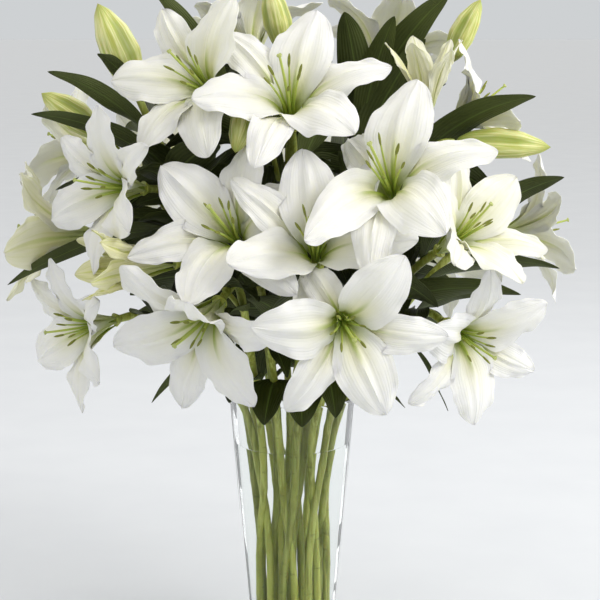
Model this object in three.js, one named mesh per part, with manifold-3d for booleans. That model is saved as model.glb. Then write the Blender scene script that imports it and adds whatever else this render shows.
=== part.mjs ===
// A bouquet of white oriental lilies that stands in a tapered glass vase of water.
// Millimetres, +Z up. The origin is the centre of the vase's foot, and the front of the bouquet faces -Y.

import * as THREE from "three";
import { mergeVertices } from "three/addons/utils/BufferGeometryUtils.js";
import Module from "manifold-3d";

const wasm = await Module();
wasm.setup();

// The vase: a straight taper, round in plan, with a thick wall and a thicker floor.
const VASE_HEIGHT = 258;
const MOUTH_RADIUS = 63;
const FOOT_RADIUS = 42;
const VASE_WALL = 5;
const VASE_FLOOR = 14;
const RIM_ROUNDING = 1.6;
const VASE_SIDES = 24;

// The water, the play between it and the glass, and the play of a stem in its hole.
const WATER_LEVEL = 210;
const GAP = 0.3;
const HOLE_PLAY = 0.42;
const HOLE_LEAD = 4;

// The stems: two rings in the vase, narrow at the waist, that spread towards the mouth.
// Two neighbours change places over a short stretch, where one passes outside the other and touches it.
const STEM_RADIUS = 4.4;
const STEM_SIDES = 5;
const RINGS = {
  outer: { waist: 32.5, spread: 17 },
  inner: { waist: 17, spread: 11 },
};
const WAIST_HEIGHT = 125;
const CROSSING_HALF = 36;
const CROSSING_STEP = 2.2;
const CROSSING_SHARES = [0.05, 0.95];
const NECK_LENGTH = 30;
const STEM_ARCH = 0.06;
const MOST_BOW = 6;

// Side stalks, that fork off a stem below its head.
const STALK_RADIUS = 2.8;
const FORK_SHARE = 0.82;
const STALK_NECK = 16;
const STALK_ARCH = 4;

// An open bloom of size 1: the length of a petal along its curve, and the widths of its two layers.
const PETAL_LENGTH = 116;
const INNER_WIDTH = 55;
const OUTER_WIDTH = 38;
const PETAL_THICKNESS = 0.9;
const THROAT_RADIUS = 3;
const LAYER_STEP = 2.3;
const HEART_DEPTH = 25;
const PETAL_DIP = 1.4;
const INNER_ROWS = [0, 0.24, 0.5, 0.78, 1];
const OUTER_ROWS = [0, 0.3, 0.68, 1];
const COLUMNS = [-1, 0, 1];
const PETAL_SPACE = 1.6;

// The curve of a petal: its slope away from the bloom's axis at the root and at the tip, in degrees.
const INNER_ROOT_SLOPE = 13;
const OUTER_ROOT_SLOPE = 17;
const CLOSED_TIP_SLOPE = 10;
const OPEN_TIP_SLOPE = 104;
const OUTER_TIP_EXTRA = 9;
const LINE_STEPS = 40;

// The blade of a petal: where it is widest, how full its tip is, how far it rolls back, and its ruffled edge.
const WIDEST = 0.56;
const NARROW_ROOT = 0.08;
const TIP_POWER = 0.62;
const ROLL_RADIUS = 80;
const RUFFLE = 2.4;
const RUFFLE_PACE = 11;

// The green end of the stalk that the petals grow from.
const RECEPTACLE = { bottom: 4.2, top: 8, low: -5, high: 1.5, sides: 5 };

// Stamens and pistil, from the throat outwards, for a bloom of size 1.
const STAMEN_LENGTH = 68;
const PISTIL_LENGTH = 80;
const STAMEN_SPREAD = 18;
const STAMEN_RADII = [0, 0.8, 1.8, 0];
const STAMEN_SHARES = [0, 0.5, 0.88, 1];
const PISTIL_RADII = [0, 1, 1.9];
const PISTIL_SHARES = [0, 0.55, 1];
const FILAMENT_RISE = 0.1;
const FIRST_TILT = 0.12;
const STAMEN_FOOT = { height: 3, radii: [2.4, 3.3], sides: 4, reach: 1.7 };
const LEAST_OPEN = 0.3;

// A bud's outline: shares of half its width and of its length.
const BUD_OUTLINE = [
  [0, 0],
  [0.24, 0.02],
  [0.72, 0.16],
  [1, 0.42],
  [0.86, 0.68],
  [0.42, 0.9],
  [0, 1],
];
const BUD_SIDES = 6;

// A leaf: thickness, rows, how high it arches, its fold along the middle, and how far it twists outwards.
const LEAF_THICKNESS = 0.9;
const LEAF_ROWS = [0, 0.36, 0.72, 1];
const LEAF_SPACE = 0.9;
const LEAF_ROLL = 62;
const LEAF_ARCH = 0.2;
const LEAF_CREST = 0.45;
const LEAF_FOLD = 0.22;
const FRONT_DEPTH = 40;

// Every open or half-open bloom, the most prominent first, because a later one gives way to an earlier one.
// heart: the centre of the throat. faces: degrees round from the front to the right, and degrees up.
// turn: degrees round its own axis from a petal that points up. open: 0 for a bud and 1 for wide open.
const BLOOMS = {
  front_low: { heart: [46, -225, 372], faces: [6, -8], turn: 85, open: 0.95, size: 0.98 },
  front_middle: { heart: [22, -190, 428], faces: [0, 34], turn: 8, open: 0.86, size: 1.02 },
  front_right: { heart: [88, -185, 486], faces: [-16, 36], turn: -6, open: 0.9, size: 1.08 },
  front_left: { heart: [-51, -170, 439], faces: [-22, 32], turn: 54, open: 0.84, size: 1.02 },
  top_middle: { heart: [-1, -125, 553], faces: [-4, 44], turn: -15, open: 0.88, size: 1.05 },
  low_left: { heart: [-75, -175, 368], faces: [-26, -26], turn: -22, open: 0.84, size: 1 },
  low_right: { heart: [159, -110, 340], faces: [34, -18], turn: 66, open: 0.84, size: 0.94 },
  right: { heart: [152, -120, 431], faces: [46, 32], turn: -60, open: 0.66, size: 0.92 },
  top_left: { heart: [-79, -110, 571], faces: [-32, 30], turn: -20, open: 0.86, size: 0.96 },
  left: { heart: [-155, -110, 479], faces: [-50, 6], turn: 0, open: 0.84, size: 0.9 },
  far_low_left: { heart: [-189, -70, 342], faces: [-56, -8], turn: 0, open: 0.84, size: 0.9 },
  far_left: { heart: [-212, -30, 425], faces: [-92, 3], turn: 20, open: 0.62, size: 0.96 },
  far_right: { heart: [228, 30, 420], faces: [98, 8], turn: 0, open: 0.8, size: 0.88 },
  far_top_left: { heart: [-205, 48, 500], faces: [-112, 14], turn: 10, open: 0.8, size: 0.86 },
  crown: { heart: [-42, 12, 604], faces: [-150, 66], turn: 0, open: 0.8, size: 0.9 },
  crown_right: { heart: [92, 52, 588], faces: [150, 52], turn: 30, open: 0.84, size: 0.92 },
  shoulder_right: { heart: [168, 8, 536], faces: [84, 34], turn: 0, open: 0.74, size: 0.84 },
  back_left: { heart: [-124, 140, 470], faces: [-142, 16], turn: 12, open: 0.86, size: 0.98 },
  back_middle: { heart: [18, 182, 436], faces: [174, 4], turn: 34, open: 0.88, size: 1 },
  back_right: { heart: [146, 130, 396], faces: [132, 2], turn: 0, open: 0.84, size: 0.96 },
  half_open_left: { heart: [-126, -128, 411], faces: [-68, 4], turn: 0, open: 0.14, size: 0.82 },
  half_open_right: { heart: [129, -60, 556], faces: [6, 84], turn: 20, open: 0.2, size: 0.72 },
};

// Petals that grew off the even six-rayed star: how far each is lifted back, how far it is swayed, and its
// share of length.
const OWN_BENDS = {
  front_low: { 5: [62, 6, 0.68] },
  front_middle: { 1: [0, -16, 1], 2: [-8, -12, 1], 4: [0, 16, 1], 5: [0, 16, 1] },
  front_right: { 1: [0, -10, 1], 2: [0, 30, 1], 3: [0, 6, 1], 4: [0, -8, 1], 5: [0, -10, 1] },
};

// Buds: base, tip, and the widest diameter.
const BUDS = {
  bud_top_left: { base: [-150, -26, 562], tip: [-186, -30, 648], width: 40 },
  bud_far_left: { base: [-186, -14, 520], tip: [-243, -22, 562], width: 32 },
  bud_centre_left: { base: [-38, -112, 566], tip: [-50, -166, 516], width: 26 },
  bud_top_right: { base: [154, 4, 590], tip: [184, 0, 652], width: 27 },
  bud_right: { base: [158, -34, 516], tip: [250, -42, 511], width: 31 },
  bud_top_middle: { base: [-6, -52, 602], tip: [-22, -62, 668], width: 28 },
};

// Stems in the order round the vase, two by two: those two change places below the mouth, and cross.
// mouth: degrees round the vase from the front to the right. lean: how soon the two cross, 1 for half way.
const STEMS = [
  { ring: "outer", mouth: -73, lean: 1.1, head: "far_low_left", sides: ["far_left"] },
  { ring: "outer", mouth: -42, lean: 1.1, head: "low_left", sides: ["half_open_left"] },
  { ring: "outer", mouth: -17, lean: 0.8, head: "front_left", sides: [] },
  { ring: "outer", mouth: 6, lean: 0.8, head: "front_low", sides: [] },
  { ring: "outer", mouth: 28, lean: 1.3, head: "front_right", sides: [] },
  { ring: "outer", mouth: 52, lean: 1.3, head: "low_right", sides: [] },
  { ring: "outer", mouth: 84, lean: 0.9, head: "far_right", sides: [] },
  { ring: "outer", mouth: 122, lean: 0.9, head: "back_right", sides: [] },
  { ring: "outer", mouth: 162, lean: 1.2, head: "back_middle", sides: [] },
  { ring: "outer", mouth: 204, lean: 1.2, head: "back_left", sides: [] },
  { ring: "outer", mouth: 238, lean: 0.8, head: "far_top_left", sides: ["bud_far_left"] },
  { ring: "outer", mouth: 264, lean: 0.8, head: "left", sides: [] },
  { ring: "inner", mouth: -75, lean: 1, head: "bud_top_left", sides: [] },
  { ring: "inner", mouth: -38, lean: 1, head: "top_left", sides: [] },
  { ring: "inner", mouth: 0, lean: 1.4, head: "front_middle", sides: [] },
  { ring: "inner", mouth: 36, lean: 1.4, head: "right", sides: [] },
  { ring: "inner", mouth: 80, lean: 0.8, head: "shoulder_right", sides: ["bud_right", "half_open_right"] },
  { ring: "inner", mouth: 135, lean: 0.8, head: "crown_right", sides: ["bud_top_right"] },
  { ring: "inner", mouth: 185, lean: 1.1, head: "crown", sides: [] },
  { ring: "inner", mouth: 240, lean: 1.1, head: "top_middle", sides: ["bud_top_middle", "bud_centre_left"] },
];

// Leaves: the stem each grows from, how far along it, its tip and its widest part.
const LEAVES = [
  ["top_left", 0.94, [-130, -78, 662], 26],
  ["bud_top_left", 0.98, [-170, -66, 622], 20],
  ["bud_top_left", 0.9, [-232, -56, 584], 24],
  ["bud_top_left", 0.84, [-248, -60, 544], 24],
  ["far_top_left", 0.9, [-228, -46, 470], 22],
  ["left", 0.84, [-274, -64, 380], 24],
  ["crown_right", 0.92, [50, -44, 640], 38],
  ["crown_right", 0.88, [98, -44, 636], 32],
  ["crown_right", 0.95, [150, -40, 656], 36],
  ["crown_right", 0.82, [130, -60, 598], 36],
  ["top_middle", 0.86, [66, -64, 590], 34],
  ["top_middle", 0.7, [-46, -88, 556], 34],
  ["shoulder_right", 0.88, [246, -56, 562], 34],
  ["far_right", 0.88, [278, -30, 458], 32],
  ["far_right", 0.8, [258, -62, 396], 26],
  ["right", 0.78, [214, -122, 380], 30],
  ["right", 0.6, [104, -120, 420], 36],
  ["front_right", 0.8, [44, -96, 512], 36],
  ["front_right", 0.6, [64, -140, 372], 34],
  ["front_middle", 0.72, [-34, -146, 398], 32],
  ["front_left", 0.8, [-92, -128, 416], 30],
  ["front_low", 0.6, [10, -108, 250], 44],
  ["front_left", 0.62, [-26, -108, 252], 46],
  ["low_left", 0.62, [-58, -96, 262], 40],
  ["low_left", 0.8, [-132, -118, 276], 18],
  ["front_right", 0.57, [42, -104, 258], 38],
  ["low_right", 0.66, [108, -104, 268], 20],
  ["low_right", 0.72, [82, -112, 282], 20],
  ["low_right", 0.84, [150, -92, 262], 16],
  ["far_low_left", 0.66, [-118, 30, 300], 26],
  ["far_low_left", 0.72, [-112, -110, 344], 30],
  ["far_right", 0.62, [128, 58, 292], 28],
  ["back_right", 0.6, [92, 108, 268], 32],
  ["back_middle", 0.6, [34, 128, 276], 34],
  ["back_left", 0.58, [-44, 116, 270], 34],
  ["back_middle", 0.74, [-36, 178, 340], 30],
  ["back_left", 0.8, [-138, 172, 380], 28],
  ["far_top_left", 0.72, [-186, 92, 404], 28],
  ["crown", 0.86, [-66, 118, 560], 32],
  ["crown_right", 0.76, [54, 142, 532], 32],
  ["shoulder_right", 0.74, [196, 84, 486], 28],
];

const COLOURS = {
  glass: { color: 0xe6efec, roughness: 0.04, transparent: true, opacity: 0.35 },
  water: { color: 0xdfeae4, roughness: 0.02, transparent: true, opacity: 0.35 },
  petal: { color: 0xf4f5ef, roughness: 0.55 },
  stamen: { color: 0xa9b94a, roughness: 0.6 },
  bud: { color: 0xcbd389, roughness: 0.5 },
  leaf: { color: 0x4a6527, roughness: 0.42 },
};

const clamp = THREE.MathUtils.clamp;
const lerp = THREE.MathUtils.lerp;
const radians = THREE.MathUtils.degToRad;
const smooth = THREE.MathUtils.smoothstep;
const vector = (xyz) => new THREE.Vector3(...xyz);
const UP = new THREE.Vector3(0, 0, 1);

// A unit vector from degrees round from the front to the right, and degrees up.
function direction([round, up]) {
  const [a, b] = [radians(round), radians(up)];
  return new THREE.Vector3(Math.sin(a) * Math.cos(b), -Math.cos(a) * Math.cos(b), Math.sin(b));
}

// A closed geometry as a solid: equal corners are merged and faces without area are dropped.
function solidOf(geometry) {
  const bare = new THREE.BufferGeometry();
  bare.setAttribute("position", geometry.getAttribute("position"));
  bare.setIndex(geometry.index);
  const merged = mergeVertices(bare, 1e-3);
  const corners = merged.index.array;
  const kept = [];
  for (let i = 0; i < corners.length; i += 3) {
    const [a, b, c] = corners.slice(i, i + 3);
    if (a !== b && b !== c && c !== a) kept.push(a, b, c);
  }
  const vertProperties = merged.attributes.position.array;
  const triVerts = new Uint32Array(kept);
  return new wasm.Manifold(new wasm.Mesh({ numProp: 3, vertProperties, triVerts }));
}

// A solid as a named mesh with its own material.
function meshOf(name, solid, look) {
  const { vertProperties, triVerts } = solid.getMesh();
  const geometry = new THREE.BufferGeometry();
  geometry.setAttribute("position", new THREE.BufferAttribute(vertProperties, 3));
  geometry.setIndex(new THREE.BufferAttribute(triVerts, 1));
  const mesh = new THREE.Mesh(geometry, new THREE.MeshStandardMaterial({ metalness: 0, ...look }));
  mesh.name = name;
  return mesh;
}

// A thin blade over rows along it and columns across it. place(s, v) gives its middle surface and the normal
// there. Both faces are split into the same triangles, so that a waved blade doesn't cross itself.
function bladeGeometry(rows, columns, thickness, place) {
  const across = columns.length;
  const faces = [1, -1].map((side) =>
    rows.flatMap((s) =>
      columns.map((v) => {
        const { point, normal } = place(s, v);
        return point.clone().addScaledVector(normal, (side * thickness) / 2);
      }),
    ),
  );
  const back = rows.length * across;
  const index = [];
  const quad = (a, b, c, d) => index.push(a, c, b, a, d, c);
  for (let i = 0; i + 1 < rows.length; i++) {
    for (let j = 0; j + 1 < across; j++) {
      const a = i * across + j;
      const [b, c, d] = [a + 1, a + 1 + across, a + across];
      quad(a, b, c, d);
      index.push(back + a, back + b, back + c, back + a, back + c, back + d);
    }
    const [left, right] = [i * across, (i + 1) * across - 1];
    quad(left, left + across, back + left + across, back + left);
    quad(right, back + right, back + right + across, right + across);
  }
  const last = (rows.length - 1) * across;
  for (let j = 0; j + 1 < across; j++) {
    quad(j, back + j, back + j + 1, j + 1);
    quad(last + j, last + j + 1, back + last + j + 1, back + last + j);
  }
  return new THREE.BufferGeometry().setFromPoints(faces.flat()).setIndex(index);
}

// A round tube along points, with a radius at each of them; a radius of 0 is a tip. Each ring stands square
// to its own way, or to the line between its neighbours where no ways are given.
function taperGeometry(points, radii, sides, ways) {
  const rings = [];
  const last = points.length - 1;
  let out = new THREE.Vector3(0.31, 0.17, 0.94);
  points.forEach((point, i) => {
    const between = points[Math.min(i + 1, last)].clone().sub(points[Math.max(i - 1, 0)]).normalize();
    const ahead = ways ? ways[i] : between;
    out = out.clone().addScaledVector(ahead, -out.dot(ahead)).normalize();
    const side = ahead.clone().cross(out);
    for (let k = 0; k < sides; k++) {
      const turn = (2 * Math.PI * k) / sides;
      const corner = point.clone().addScaledVector(out, radii[i] * Math.cos(turn));
      rings.push(corner.addScaledVector(side, radii[i] * Math.sin(turn)));
    }
  });
  const index = [];
  for (let i = 0; i < last; i++) {
    for (let k = 0; k < sides; k++) {
      const [a, b] = [i * sides + k, i * sides + ((k + 1) % sides)];
      index.push(a, b, b + sides, a, b + sides, a + sides);
    }
  }
  const end = last * sides;
  for (let k = 1; k + 1 < sides; k++) {
    index.push(0, k + 1, k);
    index.push(end, end + k, end + k + 1);
  }
  return new THREE.BufferGeometry().setFromPoints(rings).setIndex(index);
}

// Where a stretch of a curve needs rings: half way too, and so on, if it bows away from its chord.
function ringShares(curve, from, to) {
  const chord = curve.getPoint(from).lerp(curve.getPoint(to), 0.5);
  const half = (from + to) / 2;
  if (curve.getPoint(half).distanceTo(chord) <= MOST_BOW) return [to];
  return [...ringShares(curve, from, half), ...ringShares(curve, half, to)];
}

// A closed tube of one radius along a curve. lead draws its start back along its own line.
function tubeSolid(curve, radius, lead = 0) {
  const spans = curve.points.length - 1;
  const shares = [0];
  for (let span = 0; span < spans; span++) {
    shares.push(...ringShares(curve, span / spans, (span + 1) / spans));
  }
  const points = shares.map((share) => curve.getPoint(share));
  const ways = shares.map((share) => curve.getTangent(share));
  points[0].addScaledVector(ways[0], -lead);
  const radii = points.map(() => radius);
  return solidOf(taperGeometry(points, radii, STEM_SIDES, ways));
}

// A shape turned about the vase's axis from radius and height pairs that start and end on the axis.
function turnedSolid(profile) {
  const points = profile.map(([radius, height]) => new THREE.Vector2(radius, height));
  return solidOf(new THREE.LatheGeometry(points, VASE_SIDES).rotateX(Math.PI / 2));
}

const wallSlope = (MOUTH_RADIUS - FOOT_RADIUS) / VASE_HEIGHT;
const outerRadius = (height) => FOOT_RADIUS + wallSlope * height;
const innerRadius = (height) => outerRadius(height) - VASE_WALL;

function vaseSolid() {
  const rim = VASE_HEIGHT - RIM_ROUNDING;
  return turnedSolid([
    [0, 0],
    [FOOT_RADIUS, 0],
    [outerRadius(rim), rim],
    [MOUTH_RADIUS - VASE_WALL / 2, VASE_HEIGHT],
    [innerRadius(rim), rim],
    [innerRadius(VASE_FLOOR), VASE_FLOOR],
    [0, VASE_FLOOR],
  ]);
}

// The water, with a plain hole for each stem.
function waterSolid(stems) {
  const low = VASE_FLOOR + GAP;
  const body = turnedSolid([
    [0, low],
    [innerRadius(low) - GAP, low],
    [innerRadius(WATER_LEVEL) - GAP, WATER_LEVEL],
    [0, WATER_LEVEL],
  ]);
  return body.subtract(wasm.Manifold.union(stems.map((stem) => stem.hole)));
}

// The place of a bloom: its own +Z is the way it faces, and its own +X points up, before it is turned.
function bloomFrame(bloom) {
  const axis = direction(bloom.faces);
  const up = UP.clone().addScaledVector(axis, -UP.dot(axis)).normalize();
  const frame = new THREE.Matrix4().makeBasis(up, axis.clone().cross(up), axis);
  frame.setPosition(vector(bloom.heart).addScaledVector(axis, -HEART_DEPTH * bloom.size));
  return frame.multiply(new THREE.Matrix4().makeRotationZ(radians(bloom.turn)));
}

// The line down the middle of a petal, in its own plane: distance from the bloom's axis, height and slope.
function petalLine(bloom, petal, bend) {
  const step = (PETAL_LENGTH * bloom.size * bend.length) / LINE_STEPS;
  const start = radians(petal.outer ? OUTER_ROOT_SLOPE : INNER_ROOT_SLOPE);
  const tip = lerp(CLOSED_TIP_SLOPE, OPEN_TIP_SLOPE, bloom.open) + (petal.outer ? OUTER_TIP_EXTRA : 0);
  const line = [];
  let radius = (THROAT_RADIUS + (petal.outer ? LAYER_STEP : 0)) * bloom.size;
  let height = -PETAL_DIP * bloom.size;
  for (let i = 0; i <= LINE_STEPS; i++) {
    const s = i / LINE_STEPS;
    const slope = lerp(start, radians(tip), smooth(s, 0, 1)) + radians(bend.lift) * smooth(s, 0.08, 0.7);
    line.push({ radius, height, slope });
    radius += step * Math.sin(slope);
    height += step * Math.cos(slope);
  }
  return line;
}

function lineAt(line, s) {
  const at = s * (line.length - 1);
  const low = Math.min(Math.floor(at), line.length - 2);
  const [a, b] = [line[low], line[low + 1]];
  const mix = (key) => lerp(a[key], b[key], at - low);
  return { radius: mix("radius"), height: mix("height"), slope: mix("slope") };
}

// How wide a petal is at a share of its length, as a share of its greatest width.
function petalWidth(s) {
  const rise = (1 - NARROW_ROOT) * smooth(s, 0, WIDEST) + NARROW_ROOT * Math.sqrt(clamp(s / WIDEST, 0, 1));
  const past = Math.max(0, (s - WIDEST) / (1 - WIDEST));
  const fall = Math.pow(1 - past * past, TIP_POWER);
  return { width: rise * fall, fall };
}

// The middle surface of a petal: s from root to tip, v from edge to edge. It is a trough round the throat,
// flattens, and rolls back at its edges as it opens.
function petalSurface(bloom, petal, bend) {
  const line = petalLine(bloom, petal, bend);
  const size = bloom.size * lerp(1, bend.length, 0.5);
  const fullness = lerp(0.6, 1, Math.min(1, bloom.open * 1.6));
  const halfWidth = ((petal.outer ? OUTER_WIDTH : INNER_WIDTH) / 2) * size * fullness;
  const reach = Math.tan(radians(bend.sway)) * PETAL_LENGTH * bloom.size * 0.8;
  return (s, v) => {
    const { radius, height, slope } = lineAt(line, s);
    const { width, fall } = petalWidth(s);
    const flatten = smooth(s, 0.12, 0.8) * clamp(bloom.open * 1.25, 0, 1);
    const curl = lerp(1 / (radius + 1.5), -1 / ROLL_RADIUS, flatten);
    const turn = curl * v * halfWidth * width;
    const isFlat = Math.abs(turn) < 1e-4;
    const across = isFlat ? v * halfWidth * width : Math.sin(turn) / curl;
    const phase = RUFFLE_PACE * s + 2.6 * petal.number + 1.4 * v;
    const wave = RUFFLE * bloom.size * v * v * fall * smooth(s, 0.3, 0.6) * Math.sin(phase);
    const rolled = (isFlat ? 0 : (1 - Math.cos(turn)) / curl) + wave;
    const [sin, cos] = [Math.sin(slope), Math.cos(slope)];
    const point = new THREE.Vector3(radius - cos * rolled, across + reach * s * s, height + sin * rolled);
    const normal = new THREE.Vector3(-cos * Math.cos(turn), -Math.sin(turn), sin * Math.cos(turn));
    return { point, normal };
  };
}

// Ways in which a petal may be bent off its own curve, the least first: lifted back or forward, swayed to
// either side, and in the end grown shorter.
const REACHES = [8, 16, 24, 32, 42];
const SWAY_SHARE = 0.7;
const WAYS = [[1, 0], [-1, 0], [0, 1], [0, -1], [0.8, 0.7], [0.8, -0.7], [-0.8, 0.7], [-0.8, -0.7]];
const SHORTER = [0.86, 0.74, 0.62];
const SHORT_WAYS = [[0, 0], [14, 0], [-14, 0], [0, 12], [0, -12], [28, 0], [-28, 0], [20, 14], [20, -14]];

const BENDS = [{ lift: 0, sway: 0, length: 1 }];
for (const reach of REACHES) {
  for (const [lift, sway] of WAYS) {
    BENDS.push({ lift: lift * reach, sway: sway * reach * SWAY_SHARE, length: 1 });
  }
}
for (const length of SHORTER) {
  for (const [lift, sway] of SHORT_WAYS) BENDS.push({ lift, sway, length });
}

const PETALS = Array.from({ length: 6 }, (_, number) => ({ number, outer: number % 2 === 1 }));

// The ways that are open to one petal, each on top of how it grew.
function bendsOf(name, petal) {
  const [lift, sway, length] = OWN_BENDS[name]?.[petal.number] ?? [0, 0, 1];
  return BENDS.map((bend) => ({
    lift: lift + bend.lift,
    sway: sway + bend.sway,
    length: length * bend.length,
  }));
}

function petalSolid(bloom, petal, bend) {
  const surface = petalSurface(bloom, petal, bend);
  const geometry = bladeGeometry(petal.outer ? OUTER_ROWS : INNER_ROWS, COLUMNS, PETAL_THICKNESS, surface);
  const around = new THREE.Matrix4().makeRotationZ((petal.number * Math.PI) / 3);
  return solidOf(geometry.applyMatrix4(bloom.frame.clone().multiply(around)));
}

function receptacleSolid(bloom) {
  const { bottom, top, low, high, sides } = RECEPTACLE;
  const geometry = new THREE.CylinderGeometry(top, bottom, high - low, sides).rotateX(Math.PI / 2);
  geometry.translate(0, 0, (high + low) / 2).scale(bloom.size, bloom.size, bloom.size);
  return solidOf(geometry.applyMatrix4(bloom.frame));
}

// A filament from the throat: it starts upright, leans out more and more, and lifts its tip a little.
function filamentSolid(bloom, { turn, start, lean, length, shares, radii }) {
  const foot = (RECEPTACLE.high + STAMEN_FOOT.height / 2) * bloom.size + GAP;
  const upward = UP.clone().transformDirection(bloom.frame.clone().invert());
  const points = shares.map((share) => {
    const tilt = lean * lerp(FIRST_TILT, 1, share);
    const outward = start + Math.sin(tilt) * length * share;
    const along = foot + Math.cos(tilt) * length * share;
    const point = new THREE.Vector3(Math.cos(turn) * outward, Math.sin(turn) * outward, along);
    return point.addScaledVector(upward, FILAMENT_RISE * share * share * length);
  });
  return solidOf(taperGeometry(points, radii.map((radius) => radius * bloom.size), 3));
}

// Six stamens with their anthers, and the pistil, on one small foot in the throat.
function stamensSolid(bloom) {
  const spread = radians(STAMEN_SPREAD * clamp(bloom.open * 1.1, 0.3, 1));
  const bottom = RECEPTACLE.high * bloom.size + GAP;
  const ends = [bottom, bottom + STAMEN_FOOT.height].map((height) => new THREE.Vector3(0, 0, height));
  const solids = [solidOf(taperGeometry(ends, STAMEN_FOOT.radii, STAMEN_FOOT.sides))];
  for (let k = 0; k < 6; k++) {
    const filament = {
      turn: (k * Math.PI) / 3 + 0.3 + 0.12 * Math.sin(3 * k + bloom.turn),
      start: STAMEN_FOOT.reach,
      lean: spread * (0.8 + 0.25 * Math.sin(5 * k + bloom.turn)),
      length: STAMEN_LENGTH * bloom.size * (k % 2 ? 0.94 : 1.02),
      shares: STAMEN_SHARES,
      radii: STAMEN_RADII,
    };
    solids.push(filamentSolid(bloom, filament));
  }
  const pistil = { turn: 2.1, start: 0, lean: spread * 0.25, length: PISTIL_LENGTH * bloom.size };
  solids.push(filamentSolid(bloom, { ...pistil, shares: PISTIL_SHARES, radii: PISTIL_RADII }));
  return wasm.Manifold.union(solids).transform(bloom.frame.elements);
}

function budSolid(bud) {
  const [base, tip] = [vector(bud.base), vector(bud.tip)];
  const length = base.distanceTo(tip);
  const outline = BUD_OUTLINE.map(
    ([across, along]) => new THREE.Vector2((across * bud.width) / 2, along * length),
  );
  const way = tip.clone().sub(base).normalize();
  const turn = new THREE.Quaternion().setFromUnitVectors(new THREE.Vector3(0, 1, 0), way);
  const geometry = new THREE.LatheGeometry(outline, BUD_SIDES).applyQuaternion(turn);
  return solidOf(geometry.translate(base.x, base.y, base.z));
}

// Where the stalk of a head ends: just under it, along its own axis.
function headSeat(name) {
  const bloom = BLOOMS[name];
  if (bloom) {
    const axis = direction(bloom.faces);
    const under = (HEART_DEPTH - RECEPTACLE.low) * bloom.size + GAP;
    return { axis, seat: vector(bloom.heart).addScaledVector(axis, -under) };
  }
  const bud = BUDS[name];
  const axis = vector(bud.tip).sub(vector(bud.base)).normalize();
  return { axis, seat: vector(bud.base).addScaledVector(axis, -GAP) };
}

// A stem's own line: round the ring in the vase, changing places with its partner, and up to its head.
function stemCurve(stem, partner) {
  const { waist, spread } = RINGS[stem.ring];
  const start = VASE_FLOOR + GAP;
  const crossing = lerp(start, VASE_HEIGHT, Math.pow(0.5, 1 / stem.lean));
  const pass = CROSSING_STEP * Math.sign(stem.mouth - partner.mouth);
  const places = [
    { height: start, share: 0, aside: 0 },
    { height: crossing - CROSSING_HALF, share: CROSSING_SHARES[0], aside: pass },
    { height: crossing + CROSSING_HALF, share: CROSSING_SHARES[1], aside: pass },
    { height: VASE_HEIGHT, share: 1, aside: 0 },
  ];
  const points = places.map(({ height, share, aside }) => {
    const round = radians(lerp(partner.mouth, stem.mouth, share));
    const opening = Math.max(0, (height - WAIST_HEIGHT) / (VASE_HEIGHT - WAIST_HEIGHT));
    const radius = waist + aside + spread * opening * opening;
    return new THREE.Vector3(radius * Math.sin(round), -radius * Math.cos(round), height);
  });
  const mouth = points[points.length - 1];
  const { axis, seat } = headSeat(stem.head);
  const before = seat.clone().addScaledVector(axis, -NECK_LENGTH);
  const middle = mouth.clone().lerp(before, 0.5).addScaledVector(UP, mouth.distanceTo(before) * STEM_ARCH);
  return new THREE.CatmullRomCurve3([...points, middle, before, seat], false, "centripetal");
}

// A side stalk, from a share of the way along its stem.
function stalkCurve(stem, name) {
  const { axis, seat } = headSeat(name);
  const before = seat.clone().addScaledVector(axis, -STALK_NECK);
  const root = stem.curve.getPointAt(FORK_SHARE);
  const middle = root.clone().lerp(before, 0.5).addScaledVector(UP, STALK_ARCH);
  return new THREE.CatmullRomCurve3([root, middle, before, seat], false, "centripetal");
}

function buildStems() {
  return STEMS.map((stem, i) => {
    const partner = STEMS[i % 2 ? i - 1 : i + 1];
    const built = { ...stem, curve: stemCurve(stem, partner), node: `stems_${Math.floor(i / 2) + 1}` };
    built.hole = tubeSolid(built.curve, STEM_RADIUS + HOLE_PLAY, HOLE_LEAD);
    built.solids = [tubeSolid(built.curve, STEM_RADIUS)];
    for (const name of stem.sides) built.solids.push(tubeSolid(stalkCurve(built, name), STALK_RADIUS));
    return built;
  });
}

// The middle surface of a leaf, that rises from its stem and arches over to its tip. A leaf that runs
// sideways twists, so that its upper face also looks out of the bouquet.
function leafSurface(root, tip, width, bend) {
  const chord = tip.clone().sub(root);
  const side = new THREE.Vector3(-chord.y, chord.x, 0).normalize();
  chord.applyAxisAngle(UP, radians(bend.swing));
  chord.applyAxisAngle(side, radians(-bend.raise));
  const end = root.clone().add(chord);
  const arch = LEAF_ARCH * chord.length();
  const crest = root.clone().addScaledVector(chord, LEAF_CREST).addScaledVector(UP, arch);
  const line = new THREE.QuadraticBezierCurve3(root, crest, end);
  const flat = new THREE.Vector3(chord.x, chord.y, 0).normalize();
  const middle = root.clone().add(end).multiplyScalar(0.5);
  const out = new THREE.Vector3(0.2 * middle.x, middle.y - FRONT_DEPTH, 0);
  const edge = new THREE.Vector3(flat.y, -flat.x, 0);
  const roll = radians(LEAF_ROLL) * Math.abs(flat.x) * Math.sign(edge.dot(out));
  return (s, v) => {
    const ahead = line.getTangent(s);
    const normal = UP.clone().multiplyScalar(ahead.dot(flat)).addScaledVector(flat, -ahead.z).normalize();
    normal.applyAxisAngle(ahead, -roll * smooth(s, 0, 0.5));
    const across = ahead.clone().cross(normal);
    const taper = Math.pow(smooth(s, -0.12, 0.42), 0.8) * Math.pow(1 - Math.pow(s, 2.6), 0.9);
    const half = s > 0 && s < 1 ? (width / 2) * taper : 0;
    const point = line.getPoint(s).addScaledVector(across, -v * half);
    return { point: point.addScaledVector(normal, LEAF_FOLD * half * v * v), normal };
  };
}

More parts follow.
